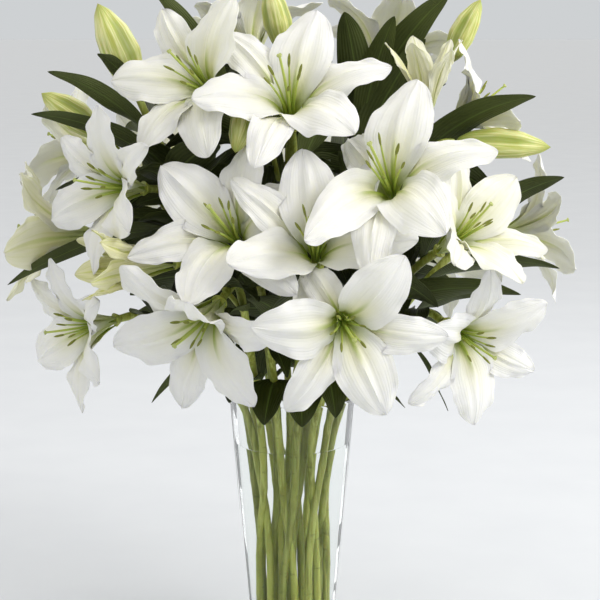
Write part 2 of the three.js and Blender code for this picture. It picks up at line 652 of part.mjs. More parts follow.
// Ways in which a leaf may be turned about its root, the least first: raised or lowered, and swung round.
const RAISES = [0, 10, -10, 20, -20, 32, -32];
const SWINGS = [0, 12, -12, 24, -24, 38, -38];
const LEAF_BENDS = RAISES.flatMap((raise) => SWINGS.map((swing) => ({ raise, swing })));
LEAF_BENDS.sort((a, b) => Math.hypot(a.raise, a.swing) - Math.hypot(b.raise, b.swing));

function leafSolid(root, tip, width, bend) {
  const surface = leafSurface(root, vector(tip), width, bend);
  return solidOf(bladeGeometry(LEAF_ROWS, COLUMNS, LEAF_THICKNESS, surface));
}

// The solids that later ones keep clear of. A head only has to be free of its own stalk and stamens, and what
// is fused into the same node may touch.
const placed = [];

function keepClearOf(solid, owner, node) {
  placed.push({ solid, owner, node, box: solid.boundingBox() });
}

function isNear(a, b, space) {
  return [0, 1, 2].every((i) => a.min[i] - space < b.max[i] && b.min[i] - space < a.max[i]);
}

function isClear(solid, space, own) {
  const box = solid.boundingBox();
  return placed.every((other) => {
    if (other.node === own) return true;
    const wanted = other.owner === own ? GAP * 0.8 : space;
    return !isNear(box, other.box, wanted) || solid.minGap(other.solid, wanted) >= wanted;
  });
}

// The first of several bends that leaves a solid clear of all that is placed.
function bendClear(bends, makeSolid, space, own) {
  for (const bend of bends) {
    const solid = makeSolid(bend);
    if (isClear(solid, space, own)) return solid;
  }
  throw new Error(`no room in the bouquet for a piece of ${own}`);
}

const bouquet = new THREE.Group();
const stems = buildStems();
const vase = vaseSolid();
bouquet.add(meshOf("vase", vase, COLOURS.glass));
bouquet.add(meshOf("water", waterSolid(stems), COLOURS.water));
keepClearOf(vase, "vase");
for (const stem of stems) {
  const heads = [stem.head, ...stem.sides];
  stem.solids.forEach((solid, k) => keepClearOf(solid, heads[k], stem.node));
}

for (const [name, bud] of Object.entries(BUDS)) {
  const solid = budSolid(bud);
  keepClearOf(solid, name);
  bouquet.add(meshOf(name, solid, COLOURS.bud));
}

for (const [name, bloom] of Object.entries(BLOOMS)) {
  bloom.frame = bloomFrame(bloom);
  if (bloom.open < LEAST_OPEN) continue;
  const solid = stamensSolid(bloom);
  keepClearOf(solid, name);
  bouquet.add(meshOf(`${name}_stamens`, solid, COLOURS.stamen));
}

for (const [name, bloom] of Object.entries(BLOOMS)) {
  const petals = PETALS.map((petal) => {
    const makeSolid = (bend) => petalSolid(bloom, petal, bend);
    return bendClear(bendsOf(name, petal), makeSolid, PETAL_SPACE, name);
  });
  for (const solid of petals) keepClearOf(solid, name);
  const joined = wasm.Manifold.union([receptacleSolid(bloom), ...petals]);
  bouquet.add(meshOf(`${name}_petals`, joined, COLOURS.petal));
}

for (const [head, share, tip, width] of LEAVES) {
  const stem = stems.find((candidate) => candidate.head === head);
  const root = stem.curve.getPointAt(share);
  const makeSolid = (bend) => leafSolid(root, tip, width, bend);
  const solid = bendClear(LEAF_BENDS, makeSolid, LEAF_SPACE, stem.node);
  stem.solids.push(solid);
  keepClearOf(solid, stem.node, stem.node);
}

for (let i = 0; i < stems.length; i += 2) {
  const joined = wasm.Manifold.union([...stems[i].solids, ...stems[i + 1].solids]);
  bouquet.add(meshOf(stems[i].node, joined, COLOURS.leaf));
}

export default bouquet;
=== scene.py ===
# %% [markdown]
# White lilies in a glass vase.
# A bouquet of large oriental lilies stands in a tapered glass vase. This script keeps the sizes and places
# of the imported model, and gives every petal, stamen, bud, leaf and stem its fine form and finish.
# It is a lesson in cells: each step says what the piece is, how it could be made and why this way was chosen.

import itertools
import math
import random
from collections import namedtuple
from contextlib import contextmanager

import bmesh
import bpy
import numpy as np
from mathutils import Matrix, Vector
from mathutils.bvhtree import BVHTree


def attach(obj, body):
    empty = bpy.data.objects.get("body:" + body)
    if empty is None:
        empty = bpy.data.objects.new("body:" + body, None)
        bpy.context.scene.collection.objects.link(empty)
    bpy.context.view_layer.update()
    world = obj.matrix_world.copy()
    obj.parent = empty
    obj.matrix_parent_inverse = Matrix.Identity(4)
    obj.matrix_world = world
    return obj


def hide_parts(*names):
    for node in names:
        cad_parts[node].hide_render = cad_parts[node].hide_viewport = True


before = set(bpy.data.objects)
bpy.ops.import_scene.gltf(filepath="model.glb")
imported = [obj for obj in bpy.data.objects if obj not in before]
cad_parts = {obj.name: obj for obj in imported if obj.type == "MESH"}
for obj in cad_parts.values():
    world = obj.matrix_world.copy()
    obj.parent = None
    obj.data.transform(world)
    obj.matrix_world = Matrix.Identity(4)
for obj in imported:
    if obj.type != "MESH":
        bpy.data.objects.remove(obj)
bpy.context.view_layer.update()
print("nodes in the frame:", len(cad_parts))

# %% [markdown]
# Sizes are thought of in millimetres, as on a drawing, but Blender works in metres.
# One constant does the change where a mesh is made, so the tables below stay easy to read.

# %% Millimetres, and the ways to speak of a direction
MM = 0.001
UP = Vector((0, 0, 1))


def direction(degrees_round, degrees_up):
    """A unit vector: degrees round from the front to the right, and degrees up."""
    a = math.radians(degrees_round)
    b = math.radians(degrees_up)
    return Vector((math.sin(a) * math.cos(b), -math.cos(a) * math.cos(b), math.sin(b)))


def smooth(x, low, high):
    """Rises gently from 0 at low to 1 at high."""
    t = np.clip((x - low) / (high - low), 0, 1)
    return t * t * (3 - 2 * t)


def hump(x, rise, fall):
    """Rises over one stretch and falls over another."""
    return smooth(x, *rise) * (1 - smooth(x, *fall))


def lerp(a, b, share):
    return a + (b - a) * share


def added_up(steps):
    """How far each end of a row of steps lies from its start."""
    return np.concatenate([[0], np.cumsum(steps)])


print("the front looks along", direction(0, 0))

# %% [markdown]
# A finish is a small recipe of shader nodes. Written out node by node it would be long and hard to read,
# so one class wraps a socket: adding or multiplying two of them adds the Math node that does it.
# A second class holds the recipe itself, with one method that adds any other kind of node.

# %% Shader maths as plain expressions
def tint(letters):
    """A colour from the usual six letters, as the linear values that a shader needs."""
    parts = [int(letters[i : i + 2], 16) / 255 for i in (0, 2, 4)]
    linear = [c / 12.92 if c <= 0.04045 else ((c + 0.055) / 1.055) ** 2.4 for c in parts]
    return (*linear, 1)


class Value:
    """A number that varies over a surface."""

    def __init__(self, recipe, socket):
        self.recipe = recipe
        self.socket = socket

    def math(self, operation, *inputs):
        return self.recipe.add("ShaderNodeMath", {"operation": operation}, dict(enumerate(inputs)))

    def __add__(self, other):
        return self.math("ADD", self, other)

    def __sub__(self, other):
        return self.math("SUBTRACT", self, other)

    def __rsub__(self, other):
        return self.math("SUBTRACT", other, self)

    def __mul__(self, other):
        return self.math("MULTIPLY", self, other)

    def __abs__(self):
        return self.math("ABSOLUTE", self)

    def sine(self):
        return self.math("SINE", self)

    __radd__ = __add__
    __rmul__ = __mul__


class Recipe:
    """The nodes of a material or of the sky, whose constant values sit on its own shader."""

    def __init__(self, owner, shader, **constants):
        self.owner = owner
        owner.use_nodes = True
        self.tree = owner.node_tree
        self.shader = self.tree.nodes[shader]
        for socket, value in constants.items():
            self.paint(socket.replace("_", " "), value)

    def feed(self, socket, value):
        if isinstance(value, Value):
            self.tree.links.new(value.socket, socket)
        else:
            socket.default_value = value

    def add(self, kind, settings, inputs, output=0):
        """Adds a node: its settings come first, then the values or links of its sockets."""
        node = self.tree.nodes.new(kind)
        for name, value in settings.items():
            setattr(node, name, value)
        for name, value in inputs.items():
            self.feed(node.inputs[name], value)
        return Value(self, node.outputs[output])

    def paint(self, socket, value):
        self.feed(self.shader.inputs[socket], value)

    def coordinates(self, output):
        return self.add("ShaderNodeTexCoord", {}, {}, output)

    def axis(self, vector, output):
        return self.add("ShaderNodeSeparateXYZ", {}, {"Vector": vector}, output)

    def from_middle(self, place):
        """0 on the middle line of a petal or leaf, and 1 at its edges."""
        return abs(self.axis(place, "X") - 0.5) * 2

    def attribute(self, name):
        return self.add("ShaderNodeAttribute", {"attribute_name": name}, {}, "Fac")

    def noise(self, vector, scale, detail=3):
        return self.add("ShaderNodeTexNoise", {}, {"Vector": vector, "Scale": scale, "Detail": detail})

    def cloud(self, scale):
        """Soft patches, so many to a metre."""
        return self.noise(self.coordinates("Object"), scale)

    def streaks(self, place, stretch, detail=3):
        """Patches with their own number along each axis."""
        stretched = self.add("ShaderNodeMapping", {}, {"Vector": place, "Scale": stretch})
        return self.noise(stretched, 1, detail)

    def rise(self, value, low, high):
        """Rises gently from 0 where the value is low to 1 where it is high."""
        settings = {"interpolation_type": "SMOOTHSTEP"}
        return self.add("ShaderNodeMapRange", settings, {0: value, 1: low, 2: high})

    def fall(self, value, low, high):
        return 1 - self.rise(value, low, high)

    def mix(self, share, *colours):
        """One colour changes into another. Each is a varying colour or the six letters of a plain one."""
        a, b = (tint(colour) if isinstance(colour, str) else colour for colour in colours)
        return self.add("ShaderNodeMix", {"data_type": "RGBA"}, {0: share, 6: a, 7: b}, 2)

    def bump(self, height, millimetres):
        relief = self.add("ShaderNodeBump", {}, {"Height": height, "Distance": millimetres * MM})
        self.paint("Normal", relief)


def finish(name, **constants):
    return Recipe(bpy.data.materials.new(name), "Principled BSDF", **constants)


print("white of a petal:", [round(c, 2) for c in tint("F4F5EF")])

# %% [markdown]
# A plain pale floor under a soft sky gives the daylight of a studio. The sky is brighter overhead than at
# the horizon, so that each petal shades the one below. White petals are easily burnt out, so the sky does
# most of the work and the lamps only shape them: a key from the upper right in front, and a rim from behind
# that lights the edges. Two large lamps stand far out at the sides, because clear glass is seen only by
# what is bright beside it. The floor lies a hair below the foot of the vase, so that no two faces coincide.

# %% The floor, the light and the camera
FLOOR_SIZE = 60
FLOOR_AT = (0, 0, -0.0003)
CAMERA_AT = (0.008, -1.8, 0.65)
CAMERA_AIM = Vector((0.008, 0, 0.355))
CAMERA_LENS = 109.4
SKY_LOW = "CED1D3"
SKY_HIGH = "FEFCF6"
SKY_CHANGES = (0.1, 0.8)
SKY_STRENGTH = 1.0

# Lamps: place, width and height in metres, watts and colour.
LAMPS = {
    "key": ((1.5, -1.0, 1.7), (0.9, 0.9), 25, (1, 0.985, 0.955)),
    "rim": ((0.6, 1.3, 1.8), (1.2, 1.2), 7, (1, 1, 1)),
    "right_side": ((5.2, 1.8, 2.2), (2.4, 2.8), 60, (1, 1, 1)),
    "left_side": ((-5.2, 1.8, 2.2), (1.0, 2.8), 20, (1, 1, 1)),
}


def started(name, operator, **settings):
    """A new object from an operator that adds one, with nothing else selected."""
    bpy.ops.object.select_all(action="DESELECT")
    operator(**settings)
    item = bpy.context.object
    item.name = name
    return item


def aim(item):
    """Turns a lamp or the camera towards the middle of the picture."""
    item.rotation_euler = (CAMERA_AIM - item.location).to_track_quat("-Z", "Y").to_euler()


floor = started("floor", bpy.ops.mesh.primitive_plane_add, size=FLOOR_SIZE, location=FLOOR_AT)

sky = Recipe(bpy.data.worlds.new("soft_sky"), "Background", Strength=SKY_STRENGTH)
above = sky.axis(sky.coordinates("Generated"), "Z")
sky.paint("Color", sky.mix(sky.rise(above, *SKY_CHANGES), SKY_LOW, SKY_HIGH))
bpy.context.scene.world = sky.owner

for name, (place, (width, height), watts, colour) in LAMPS.items():
    lamp = started(name, bpy.ops.object.light_add, type="AREA", location=place)
    aim(lamp)
    lamp.data.shape = "RECTANGLE"
    lamp.data.size = width
    lamp.data.size_y = height
    lamp.data.energy = watts
    lamp.data.color = colour
    lamp.visible_camera = False

camera = started("camera", bpy.ops.object.camera_add, location=CAMERA_AT)
aim(camera)
camera.data.lens = CAMERA_LENS
bpy.context.scene.camera = camera
bpy.context.scene.view_settings.view_transform = "Standard"
print("lamps:", len(LAMPS))

# %% [markdown]
# The floor is matt, pale and almost even, with a faint mottle so that it doesn't look like paper, and a
# little rough so that the vase leaves only a soft shade on it.

# %% The finish of the floor
def floor_finish():
    recipe = finish("pale_floor", Roughness=0.55)
    mottle = recipe.cloud(9)
    recipe.paint("Base Color", recipe.mix(mottle, "D0D3D9", "D8DBE0"))
    recipe.bump(mottle, 0.3)
    return recipe.owner


floor.data.materials.append(floor_finish())
print("floor finish:", floor.data.materials[0].name)

# %% [markdown]
# A petal is white, but never one flat white. Its throat is green where the nectar groove starts, the green
# runs out along the middle line, fine veins run from root to tip, and small bumps crowd near the throat.
# The pattern turns with the petal, so it is read from the petal's own UV map: across is the way from edge
# to edge and along is the way from root to tip. Light also soaks into the thin flesh, which is subsurface
# scattering with a short reach. The back is its own finish, with a greener middle line.

# %% The finish of the petals
def petal_finish(name, throat, line, line_reach):
    recipe = finish(
        name,
        Roughness=0.5,
        Subsurface_Weight=0.55,
        Subsurface_Radius=(1.0, 1.0, 0.7),
        Subsurface_Scale=0.003,
        Specular_IOR_Level=0.3,
    )
    place = recipe.coordinates("UV")
    across = recipe.from_middle(place)
    along = recipe.axis(place, "Y")
    age_and_shade = recipe.attribute("age_and_shade")
    young = recipe.attribute("young")
    cloud = recipe.cloud(46)
    wander = recipe.streaks(place, (9, 2.2, 1))
    streaks = recipe.streaks(place, (13, 1.3, 1))

    veins = (across * 62 + wander * 5).sine() * 0.5 + 0.5
    fade = recipe.fall(along, 0.1, 0.98)
    middle = recipe.fall(across, 0.0, 0.15)
    beside = recipe.fall(across, 0.1, 0.8)
    near_root = recipe.fall(along + cloud * 0.1 - middle * 0.14, 0.14, 0.5)
    far_line = recipe.fall(along + cloud * 0.1, 0.1, line_reach)
    dots = recipe.streaks(place, (26, 60, 1), 1)
    dot_mask = recipe.fall(across, 0.2, 0.55) * recipe.fall(along, 0.22, 0.5)
    green_streaks = recipe.rise(streaks + middle * 0.3, 0.4, 0.75)

    white = recipe.mix(cloud, "EBEAE2", "F8F7F0")
    # The cream that deepens towards the root and the middle line of a petal is partly its own cream tint and
    # partly painted shade of the throat's hollow; the edges stay whiter.
    inner = recipe.fall(along, 0.12, 0.8) * beside
    cream_and_shade = recipe.mix(inner * (age_and_shade * 0.3 + 0.7), white, "DCD7AC")
    veined = recipe.mix(veins * fade * 0.05 + streaks * fade * 0.22, cream_and_shade, "C8C9A4")
    cream = recipe.mix(young * 0.8, veined, "E8E3AC")
    youthful = recipe.mix(young * green_streaks * 0.8, cream, "C9CE6E")
    green = recipe.mix(near_root * 0.92, youthful, throat)
    recipe.paint("Base Color", recipe.mix(middle * far_line * 0.92, green, line))
    recipe.paint("Roughness", cloud * 0.14 + 0.44)
    recipe.bump(veins * 0.12 + streaks * 1.6 + cloud * 0.8 + dots * dot_mask * 1.6 - middle * 0.5, 0.7)
    return recipe.owner


petal_front = petal_finish("petal_front", "A0B02E", "889E22", 0.7)
petal_back = petal_finish("petal_back", "BCC979", "CBD596", 0.95)
print("petal finishes:", petal_front.name, petal_back.name)

# %% [markdown]
# Stamens and pistil are the only strong colour in a bloom. The thread of a stamen is a glassy yellow green
# and its end, the anther, is a matt olive pod that hasn't opened yet. Each is a plain tone broken by noise.

# %% The finishes of the stamens
def thread_finish():
    recipe = finish("stamen_thread", Roughness=0.4, Subsurface_Weight=0.2, Subsurface_Scale=0.001)
    speckle = recipe.cloud(300)
    low = recipe.mix(speckle, "7F9330", "9DB044")
    recipe.paint("Base Color", recipe.mix(recipe.rise(recipe.attribute("along"), 0.3, 1), low, "B4C25E"))
    recipe.bump(speckle, 0.1)
    return recipe.owner


def pod_finish(name, dark, light):
    recipe = finish(name, Roughness=0.75)
    grain = recipe.cloud(620)
    recipe.paint("Base Color", recipe.mix(grain, dark, light))
    recipe.paint("Roughness", grain * 0.2 + 0.62)
    recipe.bump(grain, 0.2)
    return recipe.owner


thread = thread_finish()
anther_skin = pod_finish("anther_skin", "666C22", "989D46")
stigma_skin = pod_finish("stigma_skin", "9BA556", "C3CB83")
print("stamen finishes:", thread.name, anther_skin.name, stigma_skin.name)

# %% [markdown]
# A closed bud shows the backs of three outer petals, thick ridges down their middles and darker seams
# between them. It is green where it sits on the stalk and at its point, and yellow green to cream between.
# Where the seams are comes from the shape: each corner of the bud carries a number that says how near it is.

# %% The finish of the buds
def bud_finish():
    recipe = finish("bud_skin", Roughness=0.42, Subsurface_Weight=0.25, Subsurface_Scale=0.0025)
    place = recipe.coordinates("UV")
    along = recipe.axis(place, "Y")
    seam = recipe.attribute("seam")
    cloud = recipe.cloud(60)
    streak = recipe.streaks(place, (40, 2.2, 1))
    pale = recipe.mix(recipe.rise(streak, 0.36, 0.68), "B7BE58", "E6E6A6")
    parted = recipe.mix(recipe.rise(seam, 0.2, 0.9) * 0.75, pale, "8B9A37")
    based = recipe.mix(recipe.fall(along + cloud * 0.12, 0.06, 0.5) * 0.8, parted, "98A943")
    recipe.paint("Base Color", recipe.mix(recipe.rise(along, 0.82, 1.0) * 0.8, based, "9CA53F"))
    recipe.bump(streak * 1.1 + cloud * 0.5 - seam, 0.6)
    return recipe.owner


bud_skin = bud_finish()
print("bud finish:", bud_skin.name)

# %% [markdown]
# A lily leaf is dark, a little glossy, and ribbed lengthwise by parallel veins. Its underside is paler and
# duller. The stems are a lighter green with a few scars, and each stem is darkened by a random amount,
# partly a tone of its own and partly painted shade that sets the stems in the bunch apart.
# Their streaks come from noise that is stretched upwards, because stems run mostly upwards.

# %% The finishes of the leaves and stems
def leaf_finish(name, dark, light, gloss):
    recipe = finish(name, Roughness=gloss, Specular_IOR_Level=0.34)
    place = recipe.coordinates("UV")
    across = recipe.from_middle(place)
    cloud = recipe.cloud(40)
    wander = recipe.streaks(place, (3, 6, 1))
    ribs = (across * 34 + wander * 2).sine() * 0.5 + 0.5
    middle = recipe.fall(across, 0.01, 0.09)
    # A higher age makes a leaf lighter. The low ages of the inner leaves paint shade into their green.
    tone = recipe.mix(cloud * 0.6 + recipe.attribute("age_and_shade") * 0.4, dark, light)
    ribbed = recipe.mix(ribs * 0.22, tone, light)
    recipe.paint("Base Color", recipe.mix(middle * 0.4, ribbed, "6F8540"))
    recipe.paint("Roughness", cloud * 0.16 + gloss - 0.06)
    recipe.bump(ribs * 0.5 + cloud * 0.7 - middle * 0.8, 0.6)
    return recipe.owner


def stem_finish():
    recipe = finish("stem_skin", Roughness=0.4, Subsurface_Weight=0.12, Subsurface_Scale=0.0015)
    place = recipe.coordinates("Object")
    streak = recipe.streaks(place, (420, 420, 16))
    patch = recipe.streaks(place, (60, 60, 18))
    scar = recipe.rise(recipe.streaks(place, (70, 70, 190)), 0.62, 0.7)
    tone = recipe.mix(recipe.rise(patch, 0.3, 0.7), "878F2A", "B8C056")
    streaked = recipe.mix(recipe.rise(streak, 0.4, 0.7), tone, "C4CD6C")
    # Each stem's random darkening is partly a tone of its own and partly painted shade that parts the stems in
    # the bunch.
    shaded = recipe.mix(recipe.attribute("shade"), streaked, "485212")
    recipe.paint("Base Color", recipe.mix(scar * 0.4, shaded, "55601F"))
    recipe.paint("Roughness", patch * 0.2 + 0.36)
    recipe.bump(streak * 0.9 + patch - scar * 0.4, 0.45)
    return recipe.owner


leaf_top = leaf_finish("leaf_top", "171C05", "414B17", 0.42)
leaf_under = leaf_finish("leaf_under", "272E10", "5A652F", 0.58)
stem_skin = stem_finish()
print("green finishes:", leaf_top.name, leaf_under.name, stem_skin.name)

# %% [markdown]
# Glass and water are clear all through, so their look is the bending of light and not a colour. The glass
# has a breath of green in it, and a faint smear that changes its gloss, as a handled vase has. Both bend
# light less than real ones do: in the photograph the stems run straight and clear through glass and water,
# and with the true values this even light would widen and veil them.

# %% The finishes of the glass and the water
def clear_finish(name, colour, bend, gloss, coat, smear_size):
    recipe = finish(
        name,
        Base_Color=colour,
        Transmission_Weight=1,
        IOR=bend,
        Specular_IOR_Level=gloss,
        Coat_Weight=coat,
        Coat_Roughness=0.02,
    )
    recipe.paint("Roughness", recipe.rise(recipe.cloud(smear_size), 0.45, 0.9) * 0.035)
    return recipe.owner


glass = clear_finish("vase_glass", (0.985, 0.995, 0.99, 1), 1.07, 0.5, 0.25, 14)
clear_water = clear_finish("clear_water", (0.985, 0.995, 0.985, 1), 1.03, 0.2, 0, 5)
print("clear finishes:", glass.name, clear_water.name)

# %% [markdown]
# Where each head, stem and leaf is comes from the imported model, and the tables here repeat its plan.
# heart is the centre of a bloom's throat. faces is degrees round from the front to the right, and up.
# turn is degrees round its own axis. open is 0 for a bud and 1 for wide open, and size is 1 for a common
# bloom. The width of a bud is its widest diameter. Stems are listed two by two: each has its ring in the
# vase, its degrees round at the mouth, a number that says how high it crosses its partner, the head it
# carries and the heads on its side stalks. A leaf has the head of its stem, how far along the stem it
# grows, its tip and its widest part.

# %% The plan of the bouquet
Bloom = namedtuple("Bloom", "heart faces turn open size")
Bud = namedtuple("Bud", "base tip width")
Stem = namedtuple("Stem", "ring turn lean head sides")
Leaf = namedtuple("Leaf", "head share tip width")

BLOOMS = {
    "front_low": Bloom((46, -225, 372), (6, -8), 85, 0.95, 0.98),
    "front_middle": Bloom((22, -190, 428), (0, 34), 8, 0.86, 1.02),
    "front_right": Bloom((88, -185, 486), (-16, 36), -6, 0.9, 1.08),
    "front_left": Bloom((-51, -170, 439), (-22, 32), 54, 0.84, 1.02),
    "top_middle": Bloom((-1, -125, 553), (-4, 44), -15, 0.88, 1.05),
    "low_left": Bloom((-75, -175, 368), (-26, -26), -22, 0.84, 1),
    "low_right": Bloom((159, -110, 340), (34, -18), 66, 0.84, 0.94),
    "right": Bloom((152, -120, 431), (46, 32), -60, 0.66, 0.92),
    "top_left": Bloom((-79, -110, 571), (-32, 30), -20, 0.86, 0.96),
    "left": Bloom((-155, -110, 479), (-50, 6), 0, 0.84, 0.9),
    "far_low_left": Bloom((-189, -70, 342), (-56, -8), 0, 0.84, 0.9),
    "far_left": Bloom((-212, -30, 425), (-92, 3), 20, 0.62, 0.96),
    "far_right": Bloom((228, 30, 420), (98, 8), 0, 0.8, 0.88),
    "far_top_left": Bloom((-205, 48, 500), (-112, 14), 10, 0.8, 0.86),
    "crown": Bloom((-42, 12, 604), (-150, 66), 0, 0.8, 0.9),
    "crown_right": Bloom((92, 52, 588), (150, 52), 30, 0.84, 0.92),
    "shoulder_right": Bloom((168, 8, 536), (84, 34), 0, 0.74, 0.84),
    "back_left": Bloom((-124, 140, 470), (-142, 16), 12, 0.86, 0.98),
    "back_middle": Bloom((18, 182, 436), (174, 4), 34, 0.88, 1),
    "back_right": Bloom((146, 130, 396), (132, 2), 0, 0.84, 0.96),
    "half_open_left": Bloom((-126, -128, 411), (-68, 4), 0, 0.14, 0.82),
    "half_open_right": Bloom((129, -60, 556), (6, 84), 20, 0.2, 0.72),
}

# Petals that grew off the even star: degrees lifted back, degrees swayed, and their share of length.
OWN_BENDS = {
    "front_low": {5: (62, 6, 0.68)},
    "front_middle": {1: (0, -16, 1), 2: (-8, -12, 1), 4: (0, 16, 1), 5: (0, 16, 1)},
    "front_right": {1: (0, -10, 1), 2: (0, 30, 1), 3: (0, 6, 1), 4: (0, -8, 1), 5: (0, -10, 1)},
}

BUDS = {
    "bud_top_left": Bud((-150, -26, 562), (-186, -30, 648), 40),
    "bud_far_left": Bud((-186, -14, 520), (-243, -22, 562), 32),
    "bud_centre_left": Bud((-38, -112, 566), (-50, -166, 516), 26),
    "bud_top_right": Bud((154, 4, 590), (184, 0, 652), 27),
    "bud_right": Bud((158, -34, 516), (250, -42, 511), 31),
    "bud_top_middle": Bud((-6, -52, 602), (-22, -62, 668), 28),
}

STEMS = [
    Stem("outer", -73, 1.1, "far_low_left", ["far_left"]),
    Stem("outer", -42, 1.1, "low_left", ["half_open_left"]),
    Stem("outer", -17, 0.8, "front_left", []),
    Stem("outer", 6, 0.8, "front_low", []),
    Stem("outer", 28, 1.3, "front_right", []),
    Stem("outer", 52, 1.3, "low_right", []),
    Stem("outer", 84, 0.9, "far_right", []),
    Stem("outer", 122, 0.9, "back_right", []),
    Stem("outer", 162, 1.2, "back_middle", []),
    Stem("outer", 204, 1.2, "back_left", []),
    Stem("outer", 238, 0.8, "far_top_left", ["bud_far_left"]),
    Stem("outer", 264, 0.8, "left", []),
    Stem("inner", -75, 1, "bud_top_left", []),
    Stem("inner", -38, 1, "top_left", []),
    Stem("inner", 0, 1.4, "front_middle", []),
    Stem("inner", 36, 1.4, "right", []),
    Stem("inner", 80, 0.8, "shoulder_right", ["bud_right", "half_open_right"]),
    Stem("inner", 135, 0.8, "crown_right", ["bud_top_right"]),
    Stem("inner", 185, 1.1, "crown", []),
    Stem("inner", 240, 1.1, "top_middle", ["bud_top_middle", "bud_centre_left"]),
]

LEAVES = [
    Leaf("top_left", 0.94, (-130, -78, 662), 26),
    Leaf("bud_top_left", 0.98, (-170, -66, 622), 20),
    Leaf("bud_top_left", 0.9, (-232, -56, 584), 24),
    Leaf("bud_top_left", 0.84, (-248, -60, 544), 24),
    Leaf("far_top_left", 0.9, (-228, -46, 470), 22),
    Leaf("left", 0.84, (-274, -64, 380), 24),
    Leaf("crown_right", 0.92, (50, -44, 640), 38),
    Leaf("crown_right", 0.88, (98, -44, 636), 32),
    Leaf("crown_right", 0.95, (150, -40, 656), 36),
    Leaf("crown_right", 0.82, (130, -60, 598), 36),
    Leaf("top_middle", 0.86, (66, -64, 590), 34),
    Leaf("top_middle", 0.7, (-46, -88, 556), 34),
    Leaf("shoulder_right", 0.88, (246, -56, 562), 34),
    Leaf("far_right", 0.88, (278, -30, 458), 32),
    Leaf("far_right", 0.8, (258, -62, 396), 26),
    Leaf("right", 0.78, (214, -122, 380), 30),
    Leaf("right", 0.6, (104, -120, 420), 36),
    Leaf("front_right", 0.8, (44, -96, 512), 36),
    Leaf("front_right", 0.6, (64, -140, 372), 34),
    Leaf("front_middle", 0.72, (-34, -146, 398), 32),
    Leaf("front_left", 0.8, (-92, -128, 416), 30),
    Leaf("front_low", 0.6, (10, -108, 250), 44),
    Leaf("front_left", 0.62, (-26, -108, 252), 46),
    Leaf("low_left", 0.62, (-58, -96, 262), 40),
    Leaf("low_left", 0.8, (-132, -118, 276), 18),
    Leaf("front_right", 0.57, (42, -104, 258), 38),
    Leaf("low_right", 0.66, (108, -104, 268), 20),
    Leaf("low_right", 0.72, (82, -112, 282), 20),
    Leaf("low_right", 0.84, (150, -92, 262), 16),
    Leaf("far_low_left", 0.66, (-118, 30, 300), 26),
    Leaf("far_low_left", 0.72, (-112, -110, 344), 30),
    Leaf("far_right", 0.62, (128, 58, 292), 28),
    Leaf("back_right", 0.6, (92, 108, 268), 32),
    Leaf("back_middle", 0.6, (34, 128, 276), 34),
    Leaf("back_left", 0.58, (-44, 116, 270), 34),
    Leaf("back_middle", 0.74, (-36, 178, 340), 30),
    Leaf("back_left", 0.8, (-138, 172, 380), 28),
    Leaf("far_top_left", 0.72, (-186, 92, 404), 28),
    Leaf("crown", 0.86, (-66, 118, 560), 32),
    Leaf("crown_right", 0.76, (54, 142, 532), 32),
    Leaf("shoulder_right", 0.74, (196, 84, 486), 28),
]
print("blooms, buds, stems, leaves:", len(BLOOMS), len(BUDS), len(STEMS), len(LEAVES))

# %% [markdown]
# Some steps come back for every piece: pick objects, model in edit mode on faces or corners that are found
# by their place, put many objects together, and hand the finished piece to the frame. An operator works on
# all that is selected, so a helper first clears the selection. All chance comes from one pair of dice with
# a fixed seed, so the bouquet is the same each time.

# %% Helpers for modelling
dice = random.Random(11)
SMOOTH_ANGLE = 50


def pick(*objects):
    """Selects these objects only, and makes the first one active."""
    bpy.ops.object.select_all(action="DESELECT")
    for item in objects:
        item.select_set(True)
    bpy.context.view_layer.objects.active = objects[0]


@contextmanager
def editing(piece):
    """Edit mode for one piece, with everything selected at first."""
    pick(piece)
    bpy.ops.object.mode_set(mode="EDIT")
    bpy.ops.mesh.select_all(action="SELECT")
    yield
    bpy.ops.object.mode_set(mode="OBJECT")


def take(test, kind="faces"):
    """In edit mode, selects the faces, edges or corners for which a test on their middle holds."""
    mesh = bmesh.from_edit_mesh(bpy.context.object.data)
    bpy.ops.mesh.select_mode(type={"faces": "FACE", "edges": "EDGE", "verts": "VERT"}[kind])
    bpy.ops.mesh.select_all(action="DESELECT")
    for element in getattr(mesh, kind):
        corners = [element] if kind == "verts" else element.verts
        middle = sum((corner.co for corner in corners), Vector()) / len(corners)
        element.select_set(bool(test(middle, element)))
    mesh.select_flush_mode()
    bmesh.update_edit_mesh(bpy.context.object.data)


def shift(x, y, z):
    """Moves what is selected, in millimetres."""
    bpy.ops.transform.translate(value=(x * MM, y * MM, z * MM))


def widen(share):
    """Widens or narrows what is selected, about its own middle."""
    bpy.ops.transform.resize(value=(share, share, 1))


def joined(name, objects):
    """Several objects become one mesh."""
    pick(*objects)
    if len(objects) > 1:
        bpy.ops.object.join()
    piece = bpy.context.object
    piece.name = name
    return piece


def copy_of(model, matrix=None):
    """A copy with its own mesh, moved by a matrix."""
    twin = model.copy()
    twin.data = model.data.copy()
    bpy.context.scene.collection.objects.link(twin)
    if matrix is not None:
        twin.data.transform(matrix)
    return twin


def corners_of(mesh):
    """All corners of a mesh as an array, in its own units."""
    flat = np.empty(len(mesh.vertices) * 3, np.float32)
    mesh.vertices.foreach_get("co", flat)
    return flat.reshape(-1, 3).astype(float)


def place_corners(mesh, places_mm):
    mesh.vertices.foreach_set("co", (places_mm * MM).astype(np.float32).ravel())
    mesh.update()


def note(mesh, name, values):
    """Stores one number for each corner, which a finish can read."""
    layer = mesh.attributes.get(name) or mesh.attributes.new(name, "FLOAT", "POINT")
    layer.data.foreach_set("value", np.broadcast_to(values, len(mesh.vertices)).astype(np.float32))


